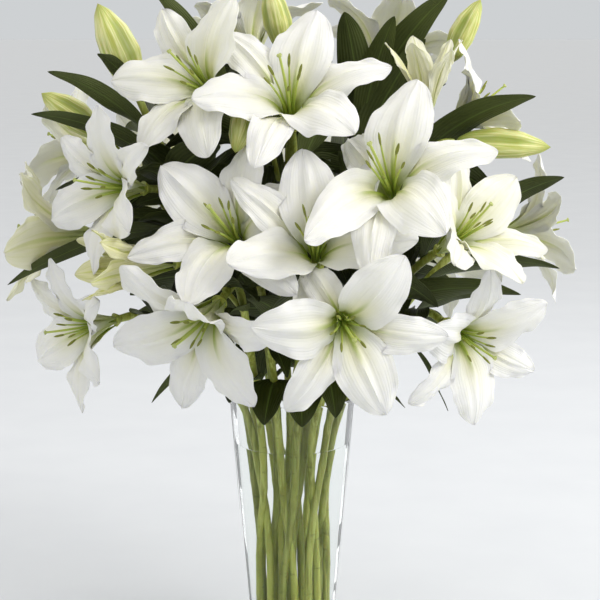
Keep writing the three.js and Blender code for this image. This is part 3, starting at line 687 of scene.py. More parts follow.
def hand_over(piece, node, angle=SMOOTH_ANGLE):
    """Smooths a finished piece and gives it to the frame, where it stands for its node."""
    pick(piece)
    bpy.ops.object.transform_apply(location=True, rotation=True, scale=True)
    bpy.ops.object.shade_smooth_by_angle(angle=math.radians(angle))
    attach(piece, "root")
    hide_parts(node)
    return piece


print("helpers ready")

# %% [markdown]
# A petal starts as a flat blank, as if cut from paper, and one blank serves all 132 petals. Its cells are
# finer near the middle line, where the groove runs, and near the tip, where the outline turns quickly.
# The blank is thick along its middle and thin at its edges: a group of weights on it says how thick.

# %% The blank of a petal and of a leaf
THIN_TIP_POWER = 6


def blank(name, across, along, crowded_middle, crowded_tip, thin_edge):
    """A flat grid whose UV map holds its own place: across from 0 to 1, and along from root to tip."""
    grid = bpy.ops.mesh.primitive_grid_add
    sheet = started(name, grid, x_subdivisions=across, y_subdivisions=along, size=1)
    flat = corners_of(sheet.data)
    v = flat[:, 0] * 2
    v = v * (1 - crowded_middle + crowded_middle * v * v)
    s = 1 - (0.5 - flat[:, 1]) ** crowded_tip
    loops = np.empty(len(sheet.data.loops), np.int32)
    sheet.data.loops.foreach_get("vertex_index", loops)
    uv = np.stack([v[loops] / 2 + 0.5, s[loops]], axis=1)
    sheet.data.uv_layers[0].data.foreach_set("uv", uv.astype(np.float32).ravel())
    group = sheet.vertex_groups.new(name="thick")
    for i, (edge, tip) in enumerate(zip(v, s)):
        group.add([i], lerp(1, thin_edge, max(edge * edge, tip**THIN_TIP_POWER)), "REPLACE")
    return sheet, s, v


petal_blank, petal_s, petal_v = blank("petal_blank", 18, 36, 0.42, 1.45, 0.3)
leaf_blank, leaf_s, leaf_v = blank("leaf_blank", 12, 30, 0.3, 1.2, 0.45)
print("corners of a petal and a leaf:", len(petal_s), len(leaf_s))

# %% [markdown]
# The form of a petal is a curve in its middle that leans out more and more, and a section that is a trough
# round the throat, flattens, and rolls back as the bloom opens. No operator bends a sheet along two curves
# at once, so the corners of the blank are placed by this formula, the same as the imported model's.
# s runs from 0 at the root to 1 at the tip, and v from -1 to 1 across. A bend is degrees lifted back,
# degrees swayed to the side, and a share of the full length. Lengths are those of a bloom of size 1, and
# slopes are degrees from the bloom's axis.

# %% The middle line of a petal
PETAL_LENGTH = 116
THROAT_RADIUS = 3
LAYER_STEPS = {"inner": 0, "outer": 2.3}
PETAL_DIP = 1.4
ROOT_SLOPES = {"inner": 13, "outer": 17}
CLOSED_TIP_SLOPE = 10
OPEN_TIP_SLOPE = 104
TIP_EXTRA = {"inner": 0, "outer": 9}
LIFTS = (0.08, 0.7)
LINE_STEPS = 40


def layer_of(number):
    """The even petals are the three wide ones in front, and the odd ones the narrow ones behind."""
    return "outer" if number % 2 else "inner"


def petal_line(bloom, layer, bend):
    """The middle line: distance from the bloom's axis, height and slope, at even steps from the root."""
    lift, _, length = bend
    step = PETAL_LENGTH * bloom.size * length / LINE_STEPS
    s = np.linspace(0, 1, LINE_STEPS + 1)
    tip = lerp(CLOSED_TIP_SLOPE, OPEN_TIP_SLOPE, bloom.open) + TIP_EXTRA[layer]
    slope = np.radians(lerp(ROOT_SLOPES[layer], tip, smooth(s, 0, 1)) + lift * smooth(s, *LIFTS))
    radius = (THROAT_RADIUS + LAYER_STEPS[layer]) * bloom.size + added_up(step * np.sin(slope[:-1]))
    height = -PETAL_DIP * bloom.size + added_up(step * np.cos(slope[:-1]))
    return s, radius, height, slope


print("length of a petal line:", PETAL_LENGTH, "mm")

# %% [markdown]
# A petal isn't smooth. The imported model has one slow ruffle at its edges. Here come a finer frill of the
# edges, shallow cockles and pleats, and the groove down the middle. Waves of sines give all of them, and the
# number of the petal and the turn of the bloom only shift the waves, so that no two petals look alike.

# %% The ruffles and the groove of a petal
RUFFLE = {"height": 2.4, "pace": 11, "starts": (0.3, 0.6)}
FRILL = {"height": 2.9, "pace": 15, "power": 3.2, "rise": (0.15, 0.4), "fall": (0.88, 1)}
FINE_FRILL = {"share": 0.45, "pace": 37}
COCKLE = {"height": 1.3, "pace": 9, "across": 2.6, "starts": (0.25, 0.6)}
PLEAT = {"height": 0.8, "count": 1.6, "power": 3, "rise": (0.12, 0.4), "fall": (0.75, 1)}
GROOVE = {"height": 2.8, "width": 0.13, "rise": (0, 0.2), "fall": (0.6, 1)}


def petal_wave(bloom, number, s, v, narrowing, fine):
    """How far each point stands up from the smooth section, in millimetres."""
    ruffle = RUFFLE["height"] * bloom.size * v * v * narrowing * smooth(s, *RUFFLE["starts"])
    ruffle = ruffle * np.sin(RUFFLE["pace"] * s + 2.6 * number + 1.4 * v)
    start = 1.9 * number + 0.7 * bloom.turn + 2.2 * np.sign(v)
    frill = np.sin(FRILL["pace"] * s + start)
    frill = frill + FINE_FRILL["share"] * np.sin(FINE_FRILL["pace"] * s + 2 * start + 5 * v)
    frill = frill * np.abs(v) ** FRILL["power"] * hump(s, FRILL["rise"], FRILL["fall"])
    cockle = np.sin(COCKLE["pace"] * s + start) * np.cos(COCKLE["across"] * v + start)
    cockle = cockle * smooth(s, *COCKLE["starts"])
    pleat = np.cos(2 * math.pi * PLEAT["count"] * np.abs(v) + 0.9 * number)
    pleat = pleat * (1 - np.abs(v) ** PLEAT["power"]) * hump(s, PLEAT["rise"], PLEAT["fall"])
    groove = np.exp(-((v / GROOVE["width"]) ** 2)) * hump(s, GROOVE["rise"], GROOVE["fall"])
    detail = bloom.size * (FRILL["height"] * frill + COCKLE["height"] * cockle)
    return ruffle + fine * (detail + PLEAT["height"] * pleat + GROOVE["height"] * groove)


print("finest wave on a petal:", FINE_FRILL)

# %% [markdown]
# Across, a petal follows an arc: tight round the throat, where it makes the trough, and turned the other way
# further out, where the petal rolls back. A closed bloom is narrower and keeps more of its trough.

# %% The form of a petal
PETALS = 6
WIDTHS = {"inner": 55, "outer": 38}
PETAL_THICKNESS = 0.9
WIDEST = 0.56
NARROW_ROOT = 0.08
TIP_POWER = 0.62
CLOSED_WIDTH = 0.6
WIDENS_WITH_OPEN = 1.6
FLATTENS = (0.12, 0.8)
FLATTENS_WITH_OPEN = 1.25
TROUGH_EXTRA = 1.5
ROLL_RADIUS = 80
NEARLY_FLAT = 1e-4
SWAY_REACH = 0.8
HEART_DEPTH = 25


def petal_form(bloom, number, bend, s, v, fine=0.0):
    """Points of a petal and the direction of its front face, in the bloom's own frame, in millimetres."""
    layer = layer_of(number)
    _, sway, length = bend
    grid, *rows = petal_line(bloom, layer, bend)
    radius, height, slope = (np.interp(s, grid, row) for row in rows)
    rise = (1 - NARROW_ROOT) * smooth(s, 0, WIDEST) + NARROW_ROOT * np.sqrt(np.clip(s / WIDEST, 0, 1))
    past = np.clip((s - WIDEST) / (1 - WIDEST), 0, 1)
    narrowing = (1 - past * past) ** TIP_POWER
    spread = lerp(CLOSED_WIDTH, 1, min(1, bloom.open * WIDENS_WITH_OPEN))
    half = WIDTHS[layer] / 2 * bloom.size * lerp(1, length, 0.5) * spread * rise * narrowing
    flatten = smooth(s, *FLATTENS) * min(1, bloom.open * FLATTENS_WITH_OPEN)
    curl = lerp(1 / (radius + TROUGH_EXTRA), -1 / ROLL_RADIUS, flatten)
    turn = curl * v * half
    is_flat = np.abs(turn) < NEARLY_FLAT
    safe = np.where(is_flat, 1, curl)
    across = np.where(is_flat, v * half, np.sin(turn) / safe)
    wave = petal_wave(bloom, number, s, v, narrowing, fine)
    rolled = np.where(is_flat, 0, (1 - np.cos(turn)) / safe) + wave
    reach = math.tan(math.radians(sway)) * PETAL_LENGTH * bloom.size * SWAY_REACH
    outward = radius - np.cos(slope) * rolled
    points = np.stack([outward, across + reach * s * s, height + np.sin(slope) * rolled], axis=1)
    front = np.stack([-np.cos(slope) * np.cos(turn), -np.sin(turn), np.sin(slope) * np.cos(turn)], axis=1)
    return points, front


def bloom_frame(bloom):
    """Where a bloom is: its own Z is the way it faces, and its own X points up before it is turned."""
    axis = direction(*bloom.faces)
    up = (UP - axis * UP.dot(axis)).normalized()
    root = Vector(bloom.heart) - axis * HEART_DEPTH * bloom.size
    basis = Matrix((up, axis.cross(up), axis)).transposed().to_4x4()
    return Matrix.Translation(root) @ basis @ Matrix.Rotation(math.radians(bloom.turn), 4, "Z")


def petal_places(bloom, number, bend, s, v, fine=0.0):
    """The same points and directions in the whole object's frame."""
    points, front = petal_form(bloom, number, bend, s, v, fine)
    matrix = np.array(bloom_frame(bloom) @ Matrix.Rotation(number * math.tau / PETALS, 4, "Z"))
    return points @ matrix[:3, :3].T + matrix[:3, 3], front @ matrix[:3, :3].T


print("widest petals:", WIDTHS, "mm")

# %% [markdown]
# In a crowded bouquet no petal keeps its ideal curve: each was bent clear of its neighbours in the packed
# model. The bends it could choose from are a short list, so the one it took is found by trying each and
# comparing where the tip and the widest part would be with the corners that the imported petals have.

# %% The bend that each petal took
REACHES = [8, 16, 24, 32, 42]
SWAY_SHARE = 0.7
WAYS = [(1, 0), (-1, 0), (0, 1), (0, -1), (0.8, 0.7), (0.8, -0.7), (-0.8, 0.7), (-0.8, -0.7)]
SHORTER = [0.86, 0.74, 0.62]
SHORT_WAYS = [(0, 0), (14, 0), (-14, 0), (0, 12), (0, -12), (28, 0), (-28, 0), (20, 14), (20, -14)]
BENDS = [(0, 0, 1)]
BENDS += [(lift * reach, sway * reach * SWAY_SHARE, 1) for reach in REACHES for lift, sway in WAYS]
BENDS += [(lift, sway, length) for length in SHORTER for lift, sway in SHORT_WAYS]
CHECK_ROWS = {"inner": 0.78, "outer": 0.68}


def check_points(row):
    """Where a blade is compared: its tip, and both edges and the middle at one row."""
    return np.array([1, row, row, row]), np.array([0, -1, 0, 1])


def misfit(points, front, thickness, corners):
    """How far a blade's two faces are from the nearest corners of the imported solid, at the worst."""
    faces = np.concatenate([points + front * thickness / 2, points - front * thickness / 2])
    gaps = np.linalg.norm(faces[:, None] - corners[None], axis=2).min(axis=1)
    return float(gaps.max())


def bend_of(name, number, corners):
    lift, sway, length = OWN_BENDS.get(name, {}).get(number, (0, 0, 1))
    s, v = check_points(CHECK_ROWS[layer_of(number)])
    tried = []
    for extra in BENDS:
        bend = (lift + extra[0], sway + extra[1], length * extra[2])
        places = petal_places(BLOOMS[name], number, bend, s, v)
        tried.append((misfit(*places, PETAL_THICKNESS, corners), bend))
    return min(tried)


def packed_corners(node):
    return corners_of(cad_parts[node].data) / MM


petal_bends = {}
for name in BLOOMS:
    corners = packed_corners(f"{name}_petals")
    petal_bends[name] = [bend_of(name, number, corners) for number in range(PETALS)]
print("worst misfit of a petal, mm:", round(max(b[0] for row in petal_bends.values() for b in row), 4))

# %% [markdown]
# Six petals on their green seat make a bloom: three wide ones in front and three narrow ones behind.
# Each blank is copied, shaped and marked with its own age, and corners that fall together, as all do at the
# root, are merged. A solidify modifier then gives the sheet its flesh and the back its own finish. The flesh
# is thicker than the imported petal's in the middle, and about half as thick at the edges.

# %% The blooms
SEAT = {"bottom": 4.2, "top": 8, "low": -5, "high": 1.5, "sides": 24, "rounding": 0.8}
SEAT_EDGE = 3
PETAL_FLESH = 1.3
THIN_FLESH = 0.1
MERGE_WITHIN = 0.01
YOUNG = {"half_open_left": 0.9, "half_open_right": 0.5, "far_left": 0.45, "right": 0.2, "top_left": 0.1}


def round_block(name, low, high, bottom, top, sides):
    """A solid round the Z axis between two heights, with the radii of its two ends, in millimetres."""
    block = started(
        name,
        bpy.ops.mesh.primitive_cone_add,
        vertices=sides,
        radius1=bottom * MM,
        radius2=top * MM,
        depth=(high - low) * MM,
        location=(0, 0, (high + low) / 2 * MM),
    )
    bpy.ops.object.transform_apply(location=True)
    return block


def bevel(width, segments):
    bpy.ops.mesh.bevel(offset=width * MM, segments=segments, affect="EDGES")


def seat_model():
    """The green end of the stalk: a short cup whose two rims, its only short edges, are rounded."""
    seat = round_block("seat_model", SEAT["low"], SEAT["high"], SEAT["bottom"], SEAT["top"], SEAT["sides"])
    with editing(seat):
        take(lambda _, edge: edge.calc_length() < SEAT_EDGE * MM, "edges")
        bevel(SEAT["rounding"], 3)
    seat.data.materials.append(stem_skin)
    return seat


def fleshed(name, sheets, under, upper, thickness, rim):
    """Sheets put together, then given their thickness and the finish of each side."""
    piece = joined(name, sheets)
    piece.data.materials.append(under)
    piece.data.materials.append(upper)
    with editing(piece):
        bpy.ops.mesh.remove_doubles(threshold=MERGE_WITHIN * MM)
    flesh = piece.modifiers.new("Flesh", "SOLIDIFY")
    flesh.thickness = thickness * MM
    flesh.offset = 0
    flesh.vertex_group = "thick"
    flesh.thickness_vertex_group = THIN_FLESH
    flesh.material_offset = 1
    flesh.material_offset_rim = rim
    bpy.ops.object.modifier_apply(modifier=flesh.name)
    return piece


def scaled(bloom):
    """From a model of size 1 in metres to its place on a bloom."""
    matrix = bloom_frame(bloom)
    matrix.translation = matrix.translation * MM
    return matrix @ Matrix.Scale(bloom.size, 4)


def make_petals(name):
    petals = []
    for number, (_, bend) in enumerate(petal_bends[name]):
        petal = copy_of(petal_blank)
        points, _ = petal_places(BLOOMS[name], number, bend, petal_s, petal_v, 1.0)
        place_corners(petal.data, points)
        note(petal.data, "age_and_shade", dice.random())
        note(petal.data, "young", YOUNG.get(name, 0))
        petals.append(petal)
    flower = fleshed("flower", petals, petal_back, petal_front, PETAL_THICKNESS * PETAL_FLESH, 1)
    flower = joined(f"{name}_bloom", [flower, copy_of(seat, scaled(BLOOMS[name]))])
    return hand_over(flower, f"{name}_petals")


seat = seat_model()
blooms = [make_petals(name) for name in BLOOMS]
print("faces on the first bloom:", len(blooms[0].data.polygons))

# %% [markdown]
# A stamen is a thread that leans out of the throat, with a pod at its end, the anther. A thread is a curve
# with a round section, made a mesh. The anther and the three-lobed end of the pistil are modelled once from
# a sphere, with their grooves pressed in, and copied to the end of each thread.

# %% Models of the anther and the stigma
ANTHER_RADII = (1.35, 1.05, 6.6)
ANTHER_GROOVE = {"half_width": 0.2, "from_depth": 0.25, "depth": 0.42}
ANTHER_BELLY = {"half_length": 4.6, "share": 1.08}
STIGMA_RADII = (2.5, 2.5, 1.7)
STIGMA_NOTCH = {"turns": (0, 120, 240), "nearness": 0.86, "depth": 0.7}
STIGMA_TOP = {"from_height": 1.2, "drop": 0.5}
MODEL_RINGS = 12


def sphere_model(name, radii, material, segments):
    """A ball drawn out to three radii."""
    ball = bpy.ops.mesh.primitive_uv_sphere_add
    model = started(name, ball, segments=segments, ring_count=MODEL_RINGS, radius=MM)
    with editing(model):
        bpy.ops.transform.resize(value=radii)
    model.data.materials.append(material)
    return model


def anther_model():
    """A pod along Z with a groove down its front and back."""
    anther = sphere_model("anther_model", ANTHER_RADII, anther_skin, 16)
    half_width = ANTHER_GROOVE["half_width"] * MM
    outside = ANTHER_GROOVE["from_depth"] * MM
    with editing(anther):
        for side in (1, -1):
            take(lambda middle, _: abs(middle.x) < half_width and middle.y * side > outside, "verts")
            shift(0, -side * ANTHER_GROOVE["depth"], 0)
        take(lambda middle, _: abs(middle.z) < ANTHER_BELLY["half_length"] * MM, "verts")
        widen(ANTHER_BELLY["share"])
    return anther


def stigma_model():
    """A knob with three lobes, flattened on top."""
    stigma = sphere_model("stigma_model", STIGMA_RADII, stigma_skin, 24)
    with editing(stigma):
        for turn in np.radians(STIGMA_NOTCH["turns"]):
            way = Vector((math.cos(turn), math.sin(turn), 0))
            take(lambda middle, _: middle.normalized().dot(way) > STIGMA_NOTCH["nearness"], "verts")
            shift(*(way * -STIGMA_NOTCH["depth"]))
        take(lambda middle, _: middle.z > STIGMA_TOP["from_height"] * MM, "verts")
        shift(0, 0, -STIGMA_TOP["drop"])
    return stigma


anther = anther_model()
stigma = stigma_model()
print("corners of an anther:", len(anther.data.vertices))

# %% [markdown]
# The threads start nearly upright in the throat, spread, and lift their ends towards the light. Their
# lengths and leans differ a little by a fixed rule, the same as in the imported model, so each bloom differs.

# %% The stamens
STAMEN = {"count": 6, "length": 68, "shares": (1.02, 0.94), "radii": (1.35, 0.7), "reach": 1.7}
STAMEN_SPREAD = {"degrees": 18, "with_open": 1.1, "least": 0.3}
STAMEN_TURN = {"first": 0.3, "swing": 0.12, "pace": 3}
STAMEN_LEAN = {"share": 0.8, "swing": 0.25, "pace": 5}
PISTIL = {"length": 80, "turn": 2.1, "lean": 0.25, "radii": (1.5, 1.15)}
STAMEN_FOOT = {"height": 3, "radii": (2.4, 3.3)}
FILAMENT_RISE = 0.1
FIRST_TILT = 0.12
GAP = 0.3
LEAST_OPEN = 0.3
THREAD_STEPS = 14
THREAD_ROUNDNESS = 2
THREAD_END = 0.84
ANTHER_PLACE = (0.87, 0.9, 0.93)
ANTHER_SWING = 0.12


def tube(name, runs, material, roundness):
    """Round tubes along runs of points, each with a radius at every point, all in millimetres."""
    curve = bpy.data.curves.new(name, "CURVE")
    curve.dimensions = "3D"
    curve.bevel_depth = 1
    curve.bevel_resolution = roundness
    curve.use_fill_caps = True
    for points, radii in runs:
        spline = curve.splines.new("POLY")
        spline.points.add(len(points) - 1)
        for corner, point, radius in zip(spline.points, points, radii):
            corner.co = (*(Vector(point) * MM), 1)
            corner.radius = radius * MM
    item = bpy.data.objects.new(name, curve)
    bpy.context.scene.collection.objects.link(item)
    pick(item)
    bpy.ops.object.convert(target="MESH")
    item = bpy.context.object
    item.data.materials.append(material)
    return item


def thread_points(bloom, turn, start, lean, length, shares):
    """The middle line of a thread in millimetres, in the whole object's frame."""
    foot = (SEAT["high"] + STAMEN_FOOT["height"] / 2) * bloom.size + GAP
    place = bloom_frame(bloom)
    upward = place.to_3x3().inverted() @ UP
    points = []
    for share in shares:
        tilt = lean * lerp(FIRST_TILT, 1, share)
        outward = start + math.sin(tilt) * length * share
        along = foot + math.cos(tilt) * length * share
        point = Vector((math.cos(turn) * outward, math.sin(turn) * outward, along))
        points.append(place @ (point + upward * FILAMENT_RISE * share * share * length))
    return points


def tapering(radii, shares, size):
    return [lerp(*radii, share) * size for share in shares]


def facing(point, way, roll=0.0):
    """Where a copy goes: its own Z turns to a direction, after a roll about itself."""
    matrix = way.to_track_quat("Z", "Y").to_matrix().to_4x4() @ Matrix.Rotation(roll, 4, "Z")
    matrix.translation = point
    return matrix


def make_stamens(name):
    bloom = BLOOMS[name]
    opened = max(STAMEN_SPREAD["least"], bloom.open * STAMEN_SPREAD["with_open"])
    spread = math.radians(STAMEN_SPREAD["degrees"] * min(1, opened))
    model_size = Matrix.Scale(bloom.size, 4)
    even = [i / THREAD_STEPS for i in range(THREAD_STEPS + 1)]
    shares = [THREAD_END * share for share in even]
    runs = []
    pods = []
    for k in range(STAMEN["count"]):
        turn = k * math.tau / STAMEN["count"] + STAMEN_TURN["first"]
        turn += STAMEN_TURN["swing"] * math.sin(STAMEN_TURN["pace"] * k + bloom.turn)
        swing = STAMEN_LEAN["swing"] * math.sin(STAMEN_LEAN["pace"] * k + bloom.turn)
        length = STAMEN["length"] * bloom.size * STAMEN["shares"][k % 2]
        form = (bloom, turn, STAMEN["reach"], spread * (STAMEN_LEAN["share"] + swing), length)
        runs.append((thread_points(*form, shares), tapering(STAMEN["radii"], shares, bloom.size)))
        below, middle, above = thread_points(*form, ANTHER_PLACE)
        tilt = Vector([dice.uniform(-ANTHER_SWING, ANTHER_SWING) for _ in range(3)])
        where = facing(middle * MM, (above - below).normalized() + tilt, dice.uniform(0, math.pi))
        pods.append(copy_of(anther, where @ model_size))
    form = (bloom, PISTIL["turn"], 0, spread * PISTIL["lean"], PISTIL["length"] * bloom.size)
    line = thread_points(*form, even)
    runs.append((line, tapering(PISTIL["radii"], even, bloom.size)))
    pods.append(copy_of(stigma, facing(line[-1] * MM, line[-1] - line[-2]) @ model_size))
    place = bloom_frame(bloom)
    bottom = Vector((0, 0, SEAT["high"] * bloom.size + GAP))
    top = bottom + Vector((0, 0, STAMEN_FOOT["height"]))
    runs.append(([place @ bottom, place @ top], STAMEN_FOOT["radii"]))
    threads = tube("threads", runs, thread, THREAD_ROUNDNESS)
    piece = joined(f"{name}_threads", [threads, *pods])
    far = np.linalg.norm(corners_of(piece.data) / MM - np.array(place.translation), axis=1)
    note(piece.data, "along", far / (STAMEN["length"] * bloom.size))
    return hand_over(piece, f"{name}_stamens")


stamens = [make_stamens(name) for name, bloom in BLOOMS.items() if bloom.open >= LEAST_OPEN]
print("blooms with stamens:", len(stamens))

# %% [markdown]
# A bud is a long drop with a soft three-sided section: the outer petals meet at their edges and bulge in
# their middles. A sphere gives a closed start with its UV map going round and along. Its corners are then
# put on the bud's outline, and pressed in along the seams, more in the middle than at the ends.

# %% The buds
BUD_OUTLINE = [(0, 0), (0.24, 0.02), (0.72, 0.16), (1, 0.42), (0.86, 0.68), (0.42, 0.9), (0, 1)]
OUTLINE_STEPS = 60
OUTLINE_ROUNDS = 3
BUD_GRID = {"segments": 48, "ring_count": 40}
BUD_ROLL = 0.6
SEAM_DEPTH = 0.14
SEAM_POWER = 6
RIDGE = 0.05


def bud_radius(along):
    """The outline as a smooth curve: width against the share of the length."""
    widths, places = zip(*BUD_OUTLINE)
    even = np.linspace(0, 1, OUTLINE_STEPS + 1)
    soft = np.interp(even, places, widths)
    for _ in range(OUTLINE_ROUNDS):
        soft[1:-1] = (soft[:-2] + 2 * soft[1:-1] + soft[2:]) / 4
    return np.interp(along, even, soft)


def make_bud(name):
    bud = BUDS[name]
    way = Vector(bud.tip) - Vector(bud.base)
    piece = started(f"{name}_skin", bpy.ops.mesh.primitive_uv_sphere_add, radius=1, **BUD_GRID)
    x, y, z = corners_of(piece.data).T
    along = 0.5 + np.arcsin(np.clip(z, -1, 1)) / math.pi
    turn = np.arctan2(y, x)
    bulge = np.sin(math.pi * along)
    seam = np.abs(np.cos(1.5 * turn)) ** SEAM_POWER * bulge
    ridge = np.cos(3 * turn + math.pi) * bulge
    radius = bud_radius(along) * bud.width / 2 * (1 - SEAM_DEPTH * seam) * (1 + RIDGE * ridge)
    drop = np.stack([radius * np.cos(turn), radius * np.sin(turn), along * way.length], axis=1)
    place_corners(piece.data, drop)
    note(piece.data, "seam", seam)
    piece.data.transform(facing(Vector(bud.base) * MM, way, BUD_ROLL))
    piece.data.materials.append(bud_skin)
    return hand_over(piece, name)


buds = [make_bud(name) for name in BUDS]
print("corners of a bud:", len(buds[0].data.vertices))

# %% [markdown]
# The stems stand in two rings in the vase, cross in pairs over a short stretch, and then fan out to their
# heads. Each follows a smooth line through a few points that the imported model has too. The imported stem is
# straight between its own rings, so the line here goes through the same rings and only rounds the corners.

# %% The lines of the stems
VASE_HEIGHT = 258
VASE_FLOOR = 14
RINGS = {"outer": (32.5, 17), "inner": (17, 11)}
WAIST_HEIGHT = 125
CROSSING_HALF = 36
CROSSING_STEP = 2.2
CROSSING_SHARES = (0.05, 0.95)
NECK_LENGTH = 30
STEM_ARCH = 0.06
MOST_BOW = 6
FORK_SHARE = 0.82
STALK_NECK = 16
STALK_ARCH = 4
LENGTH_STEPS = 200


class Line:
    """A smooth line through points, whose speed follows the distance between them."""

    def __init__(self, points):
        self.points = [Vector(point) for point in points]
        ends = [self.points[0] * 2 - self.points[1], self.points[-1] * 2 - self.points[-2]]
        self.padded = [ends[0], *self.points, ends[1]]
        steps = [self.at(i / LENGTH_STEPS) for i in range(LENGTH_STEPS + 1)]
        self.reached = added_up([(b - a).length for a, b in zip(steps, steps[1:])])

    def at(self, share):
        spans = len(self.points) - 1
        span = min(int(share * spans), spans - 1)
        t = share * spans - span
        p0, p1, p2, p3 = self.padded[span : span + 4]
        d0, d1, d2 = ((b - a).length ** 0.5 for a, b in ((p0, p1), (p1, p2), (p2, p3)))
        start = ((p1 - p0) / d0 - (p2 - p0) / (d0 + d1) + (p2 - p1) / d1) * d1
        end = ((p2 - p1) / d1 - (p3 - p1) / (d1 + d2) + (p3 - p2) / d2) * d1
        square = -3 * p1 + 3 * p2 - 2 * start - end
        cube = 2 * p1 - 2 * p2 + start + end
        return p1 + start * t + square * t * t + cube * t * t * t

    def at_length(self, share):
        even = np.linspace(0, 1, LENGTH_STEPS + 1)
        return self.at(float(np.interp(share * self.reached[-1], self.reached, even)))

    def rings(self, low, high):
        """Where a stretch needs rings: half way too, if it bows away from its chord."""
        half = (low + high) / 2
        chord = (self.at(low) + self.at(high)) / 2
        if (self.at(half) - chord).length <= MOST_BOW:
            return [self.at(high)]
        return self.rings(low, half) + self.rings(half, high)

    def corners(self):
        spans = len(self.points) - 1
        found = [self.at(0)]
        for span in range(spans):
            found += self.rings(span / spans, (span + 1) / spans)
        return found


def head_seat(name):
    """Which way a head faces, and where the stalk under it ends."""
    if name in BLOOMS:
        bloom = BLOOMS[name]
        axis = direction(*bloom.faces)
        return axis, Vector(bloom.heart) - axis * ((HEART_DEPTH - SEAT["low"]) * bloom.size + GAP)
    base = Vector(BUDS[name].base)
    axis = (Vector(BUDS[name].tip) - base).normalized()
    return axis, base - axis * GAP


def stem_line(stem, partner):
    waist, spread = RINGS[stem.ring]
    start = VASE_FLOOR + GAP
    crossing = lerp(start, VASE_HEIGHT, 0.5 ** (1 / stem.lean))
    aside = math.copysign(CROSSING_STEP, stem.turn - partner.turn)
    low, high = CROSSING_SHARES
    places = [
        (start, 0, 0),
        (crossing - CROSSING_HALF, low, aside),
        (crossing + CROSSING_HALF, high, aside),
        (VASE_HEIGHT, 1, 0),
    ]
    points = []
    for height, share, step in places:
        turn = math.radians(lerp(partner.turn, stem.turn, share))
        opening = max(0, (height - WAIST_HEIGHT) / (VASE_HEIGHT - WAIST_HEIGHT))
        radius = waist + step + spread * opening * opening
        points.append(Vector((radius * math.sin(turn), -radius * math.cos(turn), height)))
    axis, seat_point = head_seat(stem.head)
    before = seat_point - axis * NECK_LENGTH
    rise = UP * (before - points[-1]).length * STEM_ARCH
    middle = (points[-1] + before) / 2 + rise
    return Line([*points, middle, before, seat_point])


def stalk_line(line, name):
    axis, seat_point = head_seat(name)
    before = seat_point - axis * STALK_NECK
    root = line.at_length(FORK_SHARE)
    return Line([root, (root + before) / 2 + UP * STALK_ARCH, before, seat_point])


stem_lines = {}
for i, stem in enumerate(STEMS):
    stem_lines[stem.head] = stem_line(stem, STEMS[i - 1 if i % 2 else i + 1])
print("longest stem, mm:", round(max(line.reached[-1] for line in stem_lines.values())))

# %% [markdown]
# A leaf rises from its stem and arches over to its tip, folded lightly along the middle, and a leaf that
# runs sideways twists so that its upper face looks out of the bouquet. Like the petals, leaves took one of
# a few turns about their roots to stay clear, which is found in the same way.

# %% The form of a leaf
LEAF_THICKNESS = 0.9
LEAF_ROLL = 62
LEAF_ROLLS = (0, 0.5)
LEAF_ARCH = 0.2
LEAF_CREST = 0.45
LEAF_FOLD = 0.22
LEAF_WIDENS = (-0.12, 0.42)
LEAF_ROOT_POWER = 0.8
LEAF_TIP_POWERS = (2.6, 0.9)
FINER_TIP = 0.15
LOOKS_SIDEWAYS = 0.2
FRONT_DEPTH = 40
LEAF_WAVE = {"height": 1.5, "pace": 13, "power": 1.6, "rise": (0.1, 0.35), "fall": (0.8, 1)}
LEAF_GROOVE = {"depth": 0.7, "width": 0.1}
LEAF_CHECK_ROW = 0.72
RAISES = [0, 10, -10, 20, -20, 32, -32]
SWINGS = [0, 12, -12, 24, -24, 38, -38]


def turned(vectors, axes, angles):
    """Each row of vectors turned about its own axis by its own angle."""
    cosines = np.cos(angles)[:, None]
    sines = np.sin(angles)[:, None]
    along = np.sum(vectors * axes, axis=1)[:, None] * axes
    return vectors * cosines + np.cross(axes, vectors) * sines + along * (1 - cosines)


def unit(vectors):
    return vectors / np.linalg.norm(vectors, axis=1)[:, None]


def leaf_line(leaf, bend, s):
    """The middle line of a leaf, the way along it and the way its upper face looks."""
    raised, swing = bend
    root = stem_lines[leaf.head].at_length(leaf.share)
    chord = Vector(leaf.tip) - root
    side = Vector((-chord.y, chord.x, 0)).normalized()
    chord = Matrix.Rotation(math.radians(swing), 3, "Z") @ chord
    chord = Matrix.Rotation(math.radians(-raised), 3, side) @ chord
    end = root + chord
    crest = root + chord * LEAF_CREST + UP * LEAF_ARCH * chord.length
    flat = Vector((chord.x, chord.y, 0)).normalized()
    middle = (root + end) / 2
    out = Vector((LOOKS_SIDEWAYS * middle.x, middle.y - FRONT_DEPTH, 0))
    edge = Vector((flat.y, -flat.x, 0))
    roll = math.radians(LEAF_ROLL) * abs(flat.x) * np.sign(edge.dot(out))
    a, b, c = (np.array(point)[None] for point in (root, crest, end))
    t = s[:, None]
    line = a * (1 - t) ** 2 + b * 2 * t * (1 - t) + c * t * t
    ahead = unit((b - a) * (1 - t) + (c - b) * t)
    normal = np.array(UP)[None] * (ahead @ np.array(flat))[:, None] - np.array(flat)[None] * ahead[:, 2:3]
    return line, ahead, turned(unit(normal), ahead, -roll * smooth(s, *LEAF_ROLLS))


